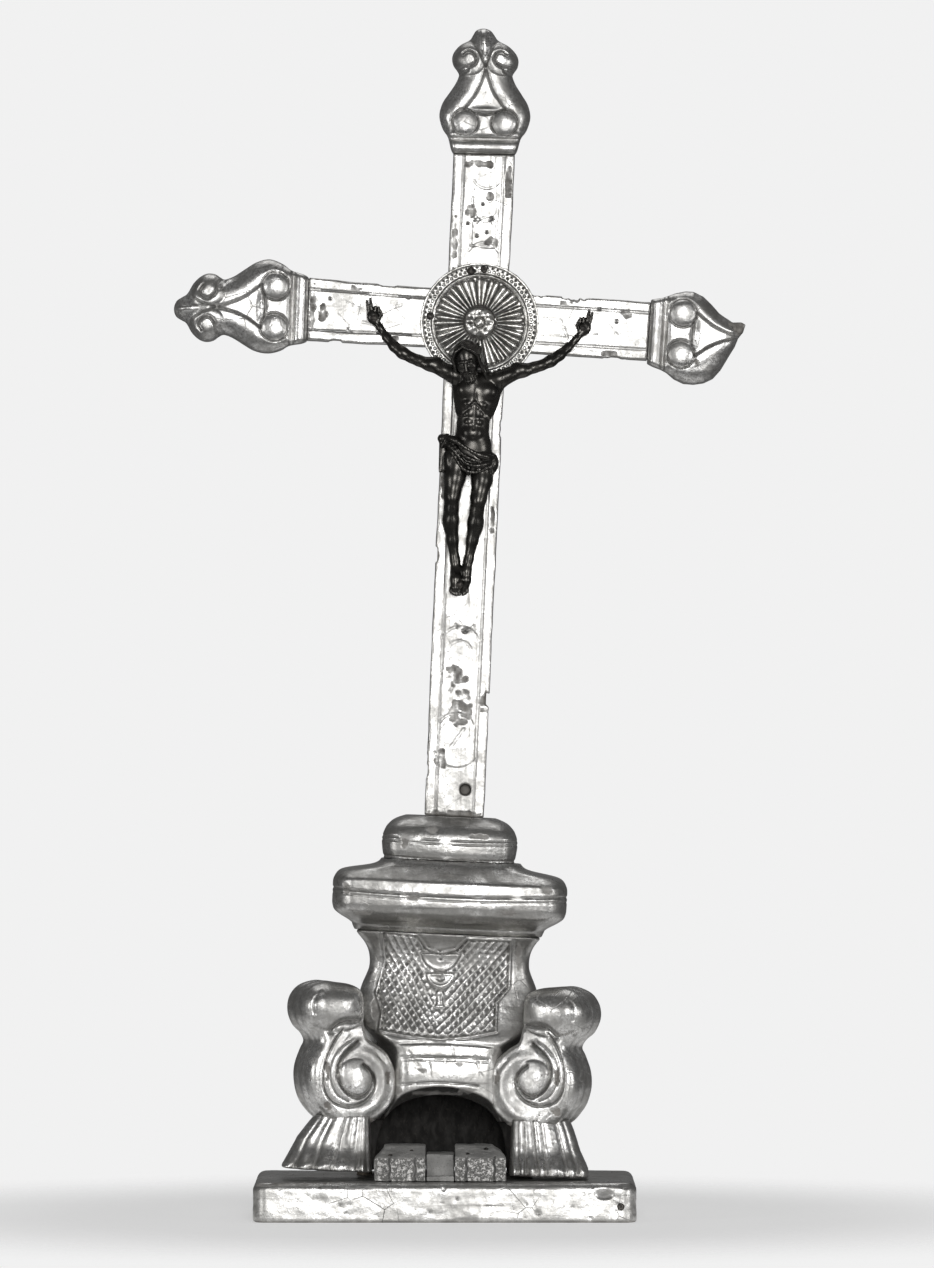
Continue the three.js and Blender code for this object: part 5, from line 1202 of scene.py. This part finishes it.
# ------------------------------------------------------------------ back board
def back_board():
    v = Vol((-42.4, 36.0, 21.0), (42.4, 43.2, 139.2), 0.7)
    X, Y, Z = v.X, v.Y, v.Z
    x, z = v.ax[0][:, None], v.ax[2][None, :]
    n = noise2(v.ax[0], v.ax[2], (1.6, 26), 111) * 0.14 + noise2(v.ax[0], v.ax[2], (5, 60), 112) * 0.2
    hb = rows([[q[0], q[1]] for q in BODY], v.ax[2])[0]
    side = np.maximum(np.abs(X) - np.minimum(42, hb - 0.5)[None, None, :], np.maximum(21.2 - Z, Z - 139)) + 0.2 * noise2(v.ax[0], v.ax[2], 6, 113)[:, None, :]
    back = Y - 43 + 0.3 + (n + 1.0 * gauss(x + 13.6, 0.7) + 1.0 * gauss(x - 15.2, 0.7) + 0.8 * gauss(line([(27, 139), (26, 118), (27.4, 102)], x, z), 0.5))[:, None, :]
    v.F = smax(smax(side + 0 * back, back + 0 * side, 1.2), 36.3 - Y, 0.4).astype(f32)
    for nd in ("back_nail_1", "back_nail_2", "back_nail_3", "back_nail_4"):
        lo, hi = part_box(nd)
        c = (np.array(lo) + np.array(hi)) * 500.0
        q = M_PED.inverted() @ Vector(c)
        v.cut((np.hypot(X - q[0], Z - q[2]) - 0.95 + 0 * v.F).astype(f32), k=0)
    ob = carve("back_planks", v, M_PED, "stand", WOOD_BACK, ["back_board"])
    ob.data.materials.append(WOOD_SHADE_BLACK)
    # the back board's inner face, seen through the niche, takes the near-black wood: painted shade
    k = np.empty(len(ob.data.polygons) * 3, f32)
    ob.data.polygons.foreach_get("normal", k)
    ob.data.polygons.foreach_set("material_index", (k.reshape(-1, 3)[:, 1] < -0.6).astype(np.int32))
    return ob


back_board()


# ------------------------------------------------------------------ cast figure
def carve_many(name, vols, M, body, mat, nodes):
    PP, QQ, C1, C2 = [], [], [], []
    n = 0
    for v in vols:
        P, q = nets(v.F)
        E = np.unique(np.sort(np.vstack([q[:, [0, 1]], q[:, [1, 2]], q[:, [2, 3]], q[:, [3, 0]]]), 1), axis=0)
        for w in (0.5, -0.3, 0.5, -0.3, 0.5, -0.3) if v.h > 0.25 else (0.5, -0.4):
            for k in range(3):
                c = P[:, k].copy()
                P[:, k] = c + 2 * w * (smooth_over(c, E, len(P), 1) - c)
        cv, cav = curvature(P, q, 1.0)
        PP.append(P * v.h + np.array([a[0] for a in v.ax]))
        QQ.append(q + n)
        C1.append(np.clip(cv * 3.0, -1, 1))
        C2.append(np.clip(cav * 1.2, -1, 1))
        n += len(P)
    return put(name, np.vstack(PP), np.vstack(QQ), M, body, mat, nodes, {"cv": np.concatenate(C1), "cav": np.concatenate(C2), "raw": np.zeros(n)})


def figure_forms(v):
    # legs, drawn together below the knee
    v.chain([[-6.2, -14.2, 179, 6.0], [-7.4, -15.6, 169, 5.3], [-8.2, -16.9, 160.5, 4.1], [-8.3, -16.0, 154, 3.6], [-8.0, -14.6, 148, 3.75], [-7.0, -12.9, 138, 3.0], [-5.4, -12.0, 128.5, 2.35], [-4.6, -12.4, 122.5, 2.5]], 1.6)
    v.chain([[6.2, -14.2, 178.4, 5.9], [6.3, -15.6, 168.6, 5.2], [5.0, -16.9, 159.6, 4.0], [4.4, -16.0, 153.4, 3.5], [3.8, -14.6, 147.4, 3.7], [2.8, -13.2, 138, 3.0], [1.6, -12.6, 128.8, 2.35], [0.6, -13.0, 122.6, 2.5]], 1.6)
    v.ball((-9.2, -13.8, 147.8), (3.0, 3.2, 6.6), 2.0)
    v.ball((5.0, -13.8, 147.2), (3.0, 3.2, 6.6), 2.0)
    for cx, cz in ((-8.2, 158.3), (4.8, 157.4)):
        v.ball((cx, -19.6, cz), (2.0, 1.5, 2.2), 1.8)
        v.ball((cx, -18.9, cz - 3.4), (1.3, 1.0, 1.2), 1.4)
    v.limb((-8.4, -18.7, 152), (-6.2, -14.4, 133), 0.9, 0.5, 1.2)
    v.limb((4.4, -18.7, 151.4), (2.4, -14.6, 133), 0.9, 0.5, 1.2)
    # feet, one laid on the other
    v.chain([[0.6, -12.9, 123, 2.6], [0.7, -13.3, 118.4, 2.5], [-0.4, -12.6, 113.8, 2.3]], 1.2)
    v.chain([[-4.6, -12.6, 122.8, 2.5], [-4.6, -15.2, 118.8, 2.6], [-4.6, -16.0, 114.4, 2.5]], 1.2)
    v.ball((-5.2, -12.4, 120.6), (2.2, 2.2, 2.6), 1.0)
    for i, (tx, tz, r) in enumerate(((-2.5, 111.2, 1.05), (-4.0, 110.9, 0.9), (-5.2, 111.2, 0.85), (-6.2, 111.8, 0.8), (-7.0, 112.6, 0.75))):
        v.limb((tx * 0.9 - 0.45, -16.0, 114.0), (tx, -16.6, tz), r + 0.1, r, 0.45)
    for i, (tx, tz, r) in enumerate(((1.6, 112.8, 0.85), (0.6, 111.8, 0.85), (-0.5, 111.2, 0.9))):
        v.limb((tx * 0.7, -12.8, 114.4), (tx, -13.6, tz), r + 0.1, r, 0.45)
    # trunk
    v.ball((1.8, -15.6, 209.5), (10.4, 6.4, 12.6), 2.0)
    v.ball((0.6, -15.0, 196), (8.3, 5.6, 13), 3.0)
    v.ball((0.4, -14.6, 185.5), (10.0, 6.0, 9.5), 2.5)
    v.ball((-3.0, -19.7, 213.6), (5.0, 2.6, 4.3), 1.6)
    v.ball((7.0, -19.7, 213.0), (5.0, 2.6, 4.3), 1.6)
    v.ball((-2.2, -20.7, 206.4), (2.4, 1.3, 1.7), 1.4)
    v.ball((4.2, -20.7, 206.0), (2.4, 1.3, 1.7), 1.4)
    for cz, w in ((201.6, 2.0), (197.6, 1.9)):
        v.ball((-1.5, -20.0, cz), (w, 1.1, 1.6), 1.0)
        v.ball((3.2, -20.0, cz - 0.2), (w, 1.1, 1.6), 1.0)
    v.ball((0.6, -19.6, 192.2), (4.6, 1.9, 3.3), 1.8)
    v.ball((0.9, -21.6, 190.0), 0.5, 0.5, cut=True)
    # ribs: soft slanting rolls, and the arch of the rib cage
    for i in range(4):
        z = 209.5 - 3.0 * i
        v.limb((-6.6, -17.6, z - 0.4), (-3.9, -19.7, z + 1.4 - 0.4 * i), 0.6, 0.5, 0.8)
        v.limb((9.4, -17.6, z - 0.8), (6.9, -19.7, z + 1.0 - 0.4 * i), 0.6, 0.5, 0.8)
    for pts in ([(1, -21.6, 207.4), (-2.4, -21.4, 204.2), (-6.4, -19.6, 199.6), (-8.0, -17.4, 195.8)], [(1, -21.6, 207.4), (4.8, -21.4, 203.8), (8.2, -19.6, 199.2), (9.4, -17.4, 195.4)]):
        for a, b in zip(pts[:-1], pts[1:]):
            v.limb(a, b, 0.45, 0.45, 0.9, cut=True)
    v.limb((1.2, -22.2, 214), (1.0, -21.6, 194), 0.4, 0.35, 1.2, cut=True)
    v.limb((12.4, -15.2, 216.4), (8.6, -14.6, 203), 3.0, 2.2, 2.4)
    v.limb((-8.4, -15.2, 217), (-6.4, -14.6, 203), 2.6, 2.0, 2.4)
    # shoulders, collar bones and neck
    v.limb((-8.6, -16.4, 219.4), (12.6, -16.4, 218.6), 3.6, 3.6, 2.0)
    v.limb((0.2, -19.4, 217.6), (-8.0, -18.9, 220.4), 0.8, 0.7, 0.9)
    v.limb((2.0, -19.4, 217.4), (11.4, -18.9, 219.6), 0.8, 0.7, 0.9)
    v.limb((1.0, -17.6, 213), (-2.4, -20.2, 223.5), 3.9, 3.5, 2.0)
    # arms
    for c in ((-11.0, -16.6, 221.0), (14.4, -16.6, 220.2)):
        v.ball(c, (4.8, 4.0, 4.1), 1.8)
    v.chain([[-9, -16.6, 220.4, 3.8], [-15.5, -16.4, 222.9, 3.55], [-22.4, -15.7, 225.3, 3.3], [-28.0, -15.0, 227.0, 2.75], [-31.8, -14.6, 228.3, 2.55], [-36.2, -13.7, 230.5, 3.0], [-40.5, -12.4, 233.6, 2.65], [-44.4, -11.0, 237.9, 2.1],
             [-48.0, -10.1, 242.6, 1.65], [-49.8, -9.8, 245.2, 1.8]], 1.6)
    v.chain([[12, -16.6, 219.6, 3.8], [18, -16.4, 222, 3.55], [24.5, -15.7, 224.3, 3.3], [30.0, -15.0, 226.2, 2.75], [33.6, -14.6, 227.4, 2.55], [38.0, -13.7, 229.8, 3.0], [42.4, -12.4, 233.0, 2.65], [46.4, -11.0, 237.0, 2.1],
             [50.2, -10.1, 241.4, 1.65], [52.2, -9.8, 244.0, 1.8]], 1.6)
    v.ball((-21.0, -16.6, 226.2), (5.2, 2.6, 2.7), 1.6, rot=np.array(RY(-22).to_3x3()))
    v.ball((23.4, -16.6, 225.4), (5.2, 2.6, 2.7), 1.6, rot=np.array(RY(-20).to_3x3()).T)
    # hands: broad palm, two fingers held up, two curled, thumb across
    for sg, px, pz in ((-1, -51.6, 248.0), (1, 54.2, 247.2)):
        v.ball((px, -9.8, pz), (3.3, 1.9, 3.9), 1.2, rot=np.array(RY(sg * 16).to_3x3()))
        d = np.array([sg * 0.16, -0.08, 0.98])
        for off, ln, r, curl in ((-2.3, 6.2, 0.82, 0), (-0.75, 7.0, 0.86, 0), (0.9, 4.4, 0.86, 1), (2.3, 3.4, 0.8, 1)):
            a = np.array([px - sg * off, -9.9, pz + 2.2 + off * 0.2])
            b = a + d * ln * 0.5 + np.array([-sg * off * 0.12, 0, 0])
            v.limb(a, b, r * 1.05, r, 0.35)
            c = b + (d * ln * 0.5 + np.array([0, -0.5, 0]) if not curl else np.array([-sg * 0.1, -2.2, 0.3]))
            v.limb(b, c, r, r * 0.82, 0.25)
            if curl:
                v.limb(c, c + np.array([0, -0.2, -2.0]), r * 0.9, r * 0.8, 0.25)
        v.limb((px - sg * 2.6, -10.4, pz - 1.8), (px - sg * 4.0, -11.4, pz + 1.2), 0.95, 0.8, 0.5)
        v.limb((px - sg * 4.0, -11.4, pz + 1.2), (px - sg * 3.0, -12.0, pz + 3.6), 0.8, 0.65, 0.3)


def cloth_forms(v):
    v.ball((0.0, -14.0, 178.6), (12.4, 6.9, 7.4), 1.0)
    v.ball((11.6, -15.2, 177.4), (2.7, 3.8, 4.9), 1.4)
    v.ball((-10.6, -14.8, 178.4), (2.8, 4.6, 6.2), 1.4)
    # a rolled upper edge and three uneven swags gathered at the knot
    for dz, r, fan, sag in ((0.0, 1.55, 0.0, 0.0), (-3.4, 0.85, 0.8, -0.8), (-6.0, 1.25, 1.6, -1.4), (-9.4, 0.8, 2.0, -1.6)):
        pts = [(-13.4, -15.8, 188.6 + dz * 0.3), (-9.2, -19.5, 188.4 + dz * 0.72), (-2.9, -21.3, 184.6 + dz + sag), (3.6, -21.5, 181.4 + dz * 0.95 + fan * 0.5 + sag * 0.6), (8.6, -19.8, 180.3 + dz * 0.8 + fan), (12.4, -16.4, 179.8 + dz * 0.6 + fan)]
        P = spline([(p[0], p[1]) for p in pts], 4)
        zz = spline([(p[2], 0) for p in pts], 4)[:, 0]
        Q3 = [(P[k, 0], P[k, 1] - 0.2, zz[k]) for k in range(len(P))]
        for i, (a, b) in enumerate(zip(Q3[:-1], Q3[1:])):
            w = r * (0.8 + 0.3 * math.sin(i * 0.55 + dz))
            v.limb(a, b, w, w, 0.5)
    for x, top, bot, r in ((-9.0, 181, 173.2, 1.2), (-4.6, 178, 172.3, 0.8), (-0.6, 176.5, 171.6, 1.15), (4.4, 175.0, 171.9, 0.8), (8.4, 175.6, 171.9, 1.1), (11.2, 176, 172.3, 0.8)):
        v.limb((x * 0.94, -20.4 + abs(x) * 0.12, top), (x * 1.03, -19.9 + abs(x) * 0.18, bot), r * 0.6, r, 0.7)
    v.ball((-14.3, -15.4, 188.6), (2.5, 2.4, 2.4), 0.8)
    v.ball((-12.3, -17.4, 189.6), (1.8, 1.4, 1.6), 0.6)
    v.limb((-14.2, -15.4, 187), (-13.5, -14.6, 173.6), 1.7, 2.1, 0.8)
    for dx in (-1.3, 0.1, 1.4):
        v.limb((-14.1 + dx * 0.5, -16.6, 186), (-13.5 + dx, -16.2, 172.8 + 0.5 * dx), 0.55, 0.7, 0.4)
    v.limb((-12.6, -18.0, 188), (-14.4, -17.6, 184.6), 0.9, 0.6, 0.4)


HEAD_O = np.array([-3.6, -21.4, 228.2])
_w = np.array([-0.27, -0.34, 0.90])
_w /= np.linalg.norm(_w)
_v = np.array([-0.14, -0.93, -0.36])
_v -= _w * (_v @ _w)
_v /= np.linalg.norm(_v)
_u = np.cross(_w, _v)
HEAD_R = np.column_stack([_u, _v, _w])


def head():
    v = Vol((-15.5, -33.5, 212.5), (9.5, -10.5, 240.5), 0.19)
    H = lambda p: HEAD_O + HEAD_R @ np.array(p, float)
    B = lambda c, r, k=0.8, cut=False: v.ball(H(c), r, k, rot=HEAD_R, cut=cut)
    L = lambda a, b, ra, rb, k=0.5, cut=False: v.limb(H(a), H(b), ra, rb, k, cut=cut)
    B((0, -1.0, 2.0), (6.1, 7.2, 7.0))
    B((0, 2.4, -2.4), (4.7, 4.5, 6.3), 2.0)
    B((0, 3.2, -6.2), (3.2, 3.1, 2.6), 1.5)
    L((-3.1, 6.2, 1.35), (3.1, 6.2, 1.35), 0.62, 0.62, 1.0)
    for s in (-1, 1):
        B((s * 2.35, 7.1, 0.2), (1.55, 1.2, 1.0), 0.6, cut=True)
        B((s * 2.3, 5.85, 0.0), (1.35, 0.85, 0.85), 0.25)
        L((s * 1.2, 6.55, -0.35), (s * 2.3, 6.78, -0.52), 0.13, 0.13, 0.12, cut=True)
        L((s * 2.3, 6.78, -0.52), (s * 3.5, 6.2, -0.3), 0.13, 0.13, 0.12, cut=True)
        B((s * 3.1, 4.9, -2.0), (1.7, 1.4, 1.8), 1.2)
        B((s * 0.85, 7.0, -3.15), (0.6, 0.7, 0.5), 0.4)
        L((s * 1.3, 6.9, -2.9), (s * 2.4, 6.2, -4.6), 0.2, 0.15, 0.7, cut=True)
    L((0, 6.5, 1.0), (0, 7.7, -2.7), 0.6, 0.75, 0.7)
    B((0, 7.7, -3.0), (0.8, 0.75, 0.65), 0.4)
    L((-1.4, 6.2, -4.75), (0, 6.7, -4.6), 0.36, 0.42, 0.4)
    L((0, 6.7, -4.6), (1.4, 6.2, -4.75), 0.42, 0.36, 0.4)
    L((-1.1, 6.1, -5.6), (1.1, 6.1, -5.6), 0.45, 0.45, 0.4)
    L((-1.6, 6.6, -5.12), (1.6, 6.6, -5.12), 0.13, 0.13, 0.15, cut=True)
    # moustache and short divided beard
    for s in (-1, 1):
        L((s * 0.25, 7.0, -4.05), (s * 1.5, 6.5, -4.5), 0.42, 0.45, 0.3)
        L((s * 1.5, 6.5, -4.5), (s * 2.5, 5.4, -6.2), 0.45, 0.4, 0.3)
        for k, (a, b, c) in enumerate((((0.5, 5.9, -7.0), (0.8, 6.3, -9.2), (0.7, 5.8, -11.0)), ((1.5, 5.6, -6.9), (1.9, 5.8, -9.0), (1.4, 5.4, -10.8)), ((2.5, 4.7, -6.4), (2.8, 4.7, -8.4), (2.1, 4.6, -10.2)),
                                       ((3.5, 3.6, -5.0), (3.6, 3.6, -7.2), (2.9, 3.8, -9.2)))):
            L((s * a[0], a[1], a[2]), (s * b[0], b[1], b[2]), 0.75, 0.7, 0.25)
            L((s * b[0], b[1], b[2]), (s * c[0], c[1], c[2]), 0.7, 0.35, 0.25)
    B((0, 3.6, -7.6), (2.9, 2.2, 2.6), 0.8)
    # hair: parted in the middle, waved locks to the shoulders
    rs = np.random.RandomState(5)
    B((0, -1.8, 2.6), (6.7, 7.4, 7.3), 0.5)
    for s in (-1, 1):
        for i in range(9):
            t = i / 8.0
            y0 = 4.2 - 9.5 * t
            a = np.array([s * 0.35, y0 + 0.4, 9.5 - 0.075 * (y0 - 0.5) ** 2 * 0.8])
            b = np.array([s * (3.9 + 1.6 * t), y0 + 1.2 * (1 - t), 7.0 - 1.4 * t])
            c = np.array([s * 6.5, 3.0 - 8.4 * t, 2.4 - 0.8 * t])
            d = np.array([s * (6.7 - 0.4 * t), 1.9 - 7.6 * t, -3.0])
            e = np.array([s * (5.7 + 1.2 * rs.rand() - 0.7 * t), 0.6 - 6.2 * t, -7.6 - rs.rand()])
            pts = [a, b, c, d, e]
            r = [0.55, 0.85, 1.0, 1.05, 0.6]
            for k in range(4):
                m = (pts[k] + pts[k + 1]) / 2 + np.array([s * (0.35 if k % 2 else -0.15), 0.3 if k % 2 else -0.1, 0])
                rm = (r[k] + r[k + 1]) / 2
                L(pts[k], m, r[k], rm, 0.22)
                L(m, pts[k + 1], rm, r[k + 1], 0.22)
    # locks falling on the shoulder at the right
    for j in range(4):
        p0 = HEAD_O + HEAD_R @ np.array([6.2, 1.6 - 2.6 * j, -2.0])
        p1 = np.array([5.4 + 0.4 * j, -21.6 + 1.7 * j, 222.6])
        p2 = np.array([6.9 + 0.5 * j, -20.2 + 1.3 * j, 218.6 + 0.4 * j])
        v.limb(p0, p1, 1.25, 1.2, 0.3)
        v.limb(p1, p2, 1.2, 0.55, 0.3)
    return v


def smoothed(F, times):
    """Evens out the joints between limb segments."""
    for _ in range(times):
        for ax in range(3):
            G = np.pad(F, [(2, 2) if k == ax else (0, 0) for k in range(3)], mode="edge")
            n = F.shape[ax]
            sl = lambda i: tuple(slice(i, i + n) if k == ax else slice(None) for k in range(3))
            F = (G[sl(0)] + 4 * G[sl(1)] + 6 * G[sl(2)] + 4 * G[sl(3)] + G[sl(4)]) / 16
    return F.astype(f32)


def figure():
    def cast(lo, hi, with_cloth):
        v = Vol(lo, hi, 0.3)
        figure_forms(v)
        soft = smoothed(v.F, 5)
        m = step(121, 127, v.Z) * step(49, 44, np.abs(v.X - 1.5)) * (0.35 + 0.65 * step(176, 170, v.Z) + 0.65 * step(15, 19, np.abs(v.X - 1.5)))
        v.F = (v.F + (soft - v.F) * np.clip(m, 0, 1)).astype(f32)
        if with_cloth:
            cloth_forms(v)
        v.F = np.maximum(v.F + 0.03 * noise(v.ax, 3.2, 121), v.Y + 7.25).astype(f32)
        return v
    b = cast((-17.5, -24.5, 108.5), (15.5, -7.0, 226), True)
    keep = (b.Z > 210)
    b.F = np.where(keep, np.maximum(b.F, np.maximum(-10.75 - b.X, b.X - 14.15)), b.F).astype(f32)
    carve_many("cast_figure_body", [b, head()], M_CAP, "cross", BRONZE, ["figure_body"])
    a = cast((-57, -21.5, 214), (-10.6, -7.0, 259), False)
    a.F = np.maximum(a.F, a.X + 10.75).astype(f32)
    carve_many("cast_figure_left_arm", [a], M_CAP, "cross", BRONZE, ["figure_left_arm"])
    a = cast((14.0, -21.5, 213), (61, -7.0, 258), False)
    a.F = np.maximum(a.F, 14.15 - a.X).astype(f32)
    carve_many("cast_figure_right_arm", [a], M_CAP, "cross", BRONZE, ["figure_right_arm"])


figure()


# ------------------------------------------------------------------ forged nails
def nail(node, body, axis, style, seed):
    lo, hi = (np.array(q) * 1000.0 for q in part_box(node))
    c = (lo + hi) / 2
    i = {"y": 1, "z": 2}[axis]
    r = (hi[0] - lo[0]) / 2
    v = Vol(lo - 0.3, hi + 0.3, 0.16 if r > 1.5 else 0.14)
    n = noise(v.ax, 1.2, seed) * 0.16 + noise(v.ax, 0.45, seed + 1) * 0.06
    top = lo[1] if i == 1 else hi[2]
    sg = 1 if i == 1 else -1
    depth = (v.Y - f32(top)) if i == 1 else (f32(top) - v.Z)
    a = v.X - f32(c[0])
    b = (v.Z - f32(c[2])) if i == 1 else (v.Y - f32(c[1]))
    rad = np.sqrt(a * a + b * b)
    if style == 0:
        flat = np.maximum(np.abs(a * 0.82 + b * 0.57), np.abs(a * 0.57 - b * 0.82)) * 1.12
        rad2 = 0.45 * rad + 0.55 * flat
    elif style == 1:
        rad2 = rad
    else:
        rad2 = 0.8 * rad + 0.2 * np.maximum(np.abs(a), np.abs(b)) * 1.2
    dome = rad2 / r
    headtop = 0.05 + 1.0 * dome ** 2
    if style == 1:
        headtop = headtop + 0.55 * np.exp(-((rad / (0.32 * r)) ** 2))
    head = np.maximum(np.maximum(headtop - depth, depth - 1.45), rad2 - r * 0.97)
    F = head + n
    ln = abs((hi - lo)[i])
    shank = np.maximum(np.maximum(rad - (0.78 - 0.03 * depth), 1.0 - depth), depth - ln + 0.1)
    v.F = np.minimum(F + 0 * v.F, shank + 0 * v.F).astype(f32)
    carve_many(node + "_forged", [v], M_ROOT, body, IRON, [node])


for k, (nd, bd, axis, style) in enumerate((("rosette_nail_1", "cross", "y", 0), ("rosette_nail_2", "cross", "y", 1), ("rosette_nail_3", "cross", "y", 2), ("left_hand_nail", "cross", "y", 2),
                                           ("right_hand_nail", "cross", "y", 2), ("feet_nail", "cross", "y", 0), ("plinth_nail", "stand", "y", 1), ("back_nail_1", "stand", "b", 2),
                                           ("back_nail_2", "stand", "b", 0), ("back_nail_3", "stand", "b", 2), ("back_nail_4", "stand", "b", 0), ("cap_nail", "stand", "z", 2), ("wall_nail_1", "stand", "z", 2),
                                           ("wall_nail_2", "stand", "z", 0), ("wall_nail_3", "stand", "z", 2), ("wall_nail_4", "stand", "z", 0))):
    if axis == "b":
        for s in frame["nodes"][nd].material_slots:
            s.material = IRON
    else:
        nail(nd, bd, axis, style, 131 + 3 * k)

# hidden pins stay as they are, in aged wood
for nd in ("left_plinth_dowel", "right_plinth_dowel", "left_cap_dowel", "right_cap_dowel", "lap_peg", "top_finial_dowel", "left_finial_dowel", "right_finial_dowel"):
    for s in frame["nodes"][nd].material_slots:
        s.material = WOOD_PIN


# ------------------------------------------------------------------ floor, light, camera
scene = bpy.context.scene
scene.view_settings.view_transform = "Standard"


def floor():
    n = 48
    P = [(0, 0, 0)]
    F = []
    R = [0.1, 0.2, 0.35, 0.55, 0.8]
    for r in R:
        P += [(r * math.cos(2 * math.pi * i / n), r * math.sin(2 * math.pi * i / n), 0) for i in range(n)]
    F += [(0, 1 + i, 1 + (i + 1) % n) for i in range(n)]
    for k in range(len(R) - 1):
        a, b = 1 + k * n, 1 + (k + 1) * n
        F += [(a + i, b + i, b + (i + 1) % n, a + (i + 1) % n) for i in range(n)]
    me = bpy.data.meshes.new("floor")
    me.from_pydata(P, [], F)
    ob = bpy.data.objects.new("floor", me)
    scene.collection.objects.link(ob)
    s = Net("pale_floor")
    s.b.inputs["Roughness"].default_value = 0.95
    s.b.inputs["Specular IOR Level"].default_value = 0.1
    n1 = s.noise(9, 4, 0.6)
    s.setin(s.b, "Base Color", s.mix(n1, (0.6, 0.6, 0.6), (0.66, 0.66, 0.66)))
    s.setin(s.b, "Emission Color", (1, 1, 1, 1))
    s.b.inputs["Emission Strength"].default_value = 0.42
    ln = s.new("ShaderNodeVectorMath", operation="LENGTH")
    s.link(s.co, ln.inputs[0])
    fade = s.ramp(ln.outputs["Value"], 0.16, 0.42)
    tr = s.new("ShaderNodeBsdfTransparent")
    mx = s.new("ShaderNodeMixShader")
    s.link(fade, mx.inputs[0])
    s.link(s.b.outputs[0], mx.inputs[1])
    s.link(tr.outputs[0], mx.inputs[2])
    s.link(mx.outputs[0], s.t.nodes["Material Output"].inputs["Surface"])
    me.materials.append(s.m)


def world():
    w = bpy.data.worlds.new("studio")
    scene.world = w
    w.use_nodes = True
    t = w.node_tree
    bg = t.nodes["Background"]
    lp = t.nodes.new("ShaderNodeLightPath")
    mx = t.nodes.new("ShaderNodeMix")
    mx.data_type = "FLOAT"
    mx.inputs[2].default_value = WORLD_LIGHT
    mx.inputs[3].default_value = WORLD_SEEN
    t.links.new(lp.outputs["Is Camera Ray"], mx.inputs[0])
    bg.inputs["Color"].default_value = (1, 1, 1, 1)
    t.links.new(mx.outputs[0], bg.inputs["Strength"])


def area(name, at, to, size, watts, size_y=None):
    d = bpy.data.lights.new(name, "AREA")
    d.energy = watts
    d.size = size
    if size_y:
        d.shape = "RECTANGLE"
        d.size_y = size_y
    o = bpy.data.objects.new(name, d)
    scene.collection.objects.link(o)
    o.location = at
    o.rotation_euler = (Vector(to) - Vector(at)).to_track_quat("-Z", "Y").to_euler()
    o.visible_camera = False
    return o


WORLD_LIGHT, WORLD_SEEN = 0.12, 0.88
floor()
world()
area("key", (0.22, -3.0, 0.62), (0.0, 0.0, 0.32), 1.0, 26.0)
area("low_fill", (0.05, -2.2, 0.18), (0.0, 0.0, 0.12), 0.5, 3.0)
area("flash", (0.30, -3.3, 0.85), (0.0, 0.0, 0.3), 0.14, 7.0)
area("left_soft", (-1.45, -1.35, 0.22), (0.0, 0.0, 0.2), 0.6, 7.0)
area("right_soft", (1.45, -1.35, 0.22), (0.0, 0.0, 0.2), 0.6, 7.0)
area("top_soft", (0.0, 0.6, 1.9), (0.0, 0.0, 0.3), 1.2, 6.0)

cam = bpy.data.objects.new("camera", bpy.data.cameras.new("camera"))
scene.collection.objects.link(cam)
cam.location = (0.011, -5.006, 0.2913)
cam.rotation_euler = (math.radians(90), 0, 0)
cam.data.sensor_width = 36.0
cam.data.lens = 36.0 * 5.0 / 0.634
cam.data.clip_end = 50.0
scene.camera = cam
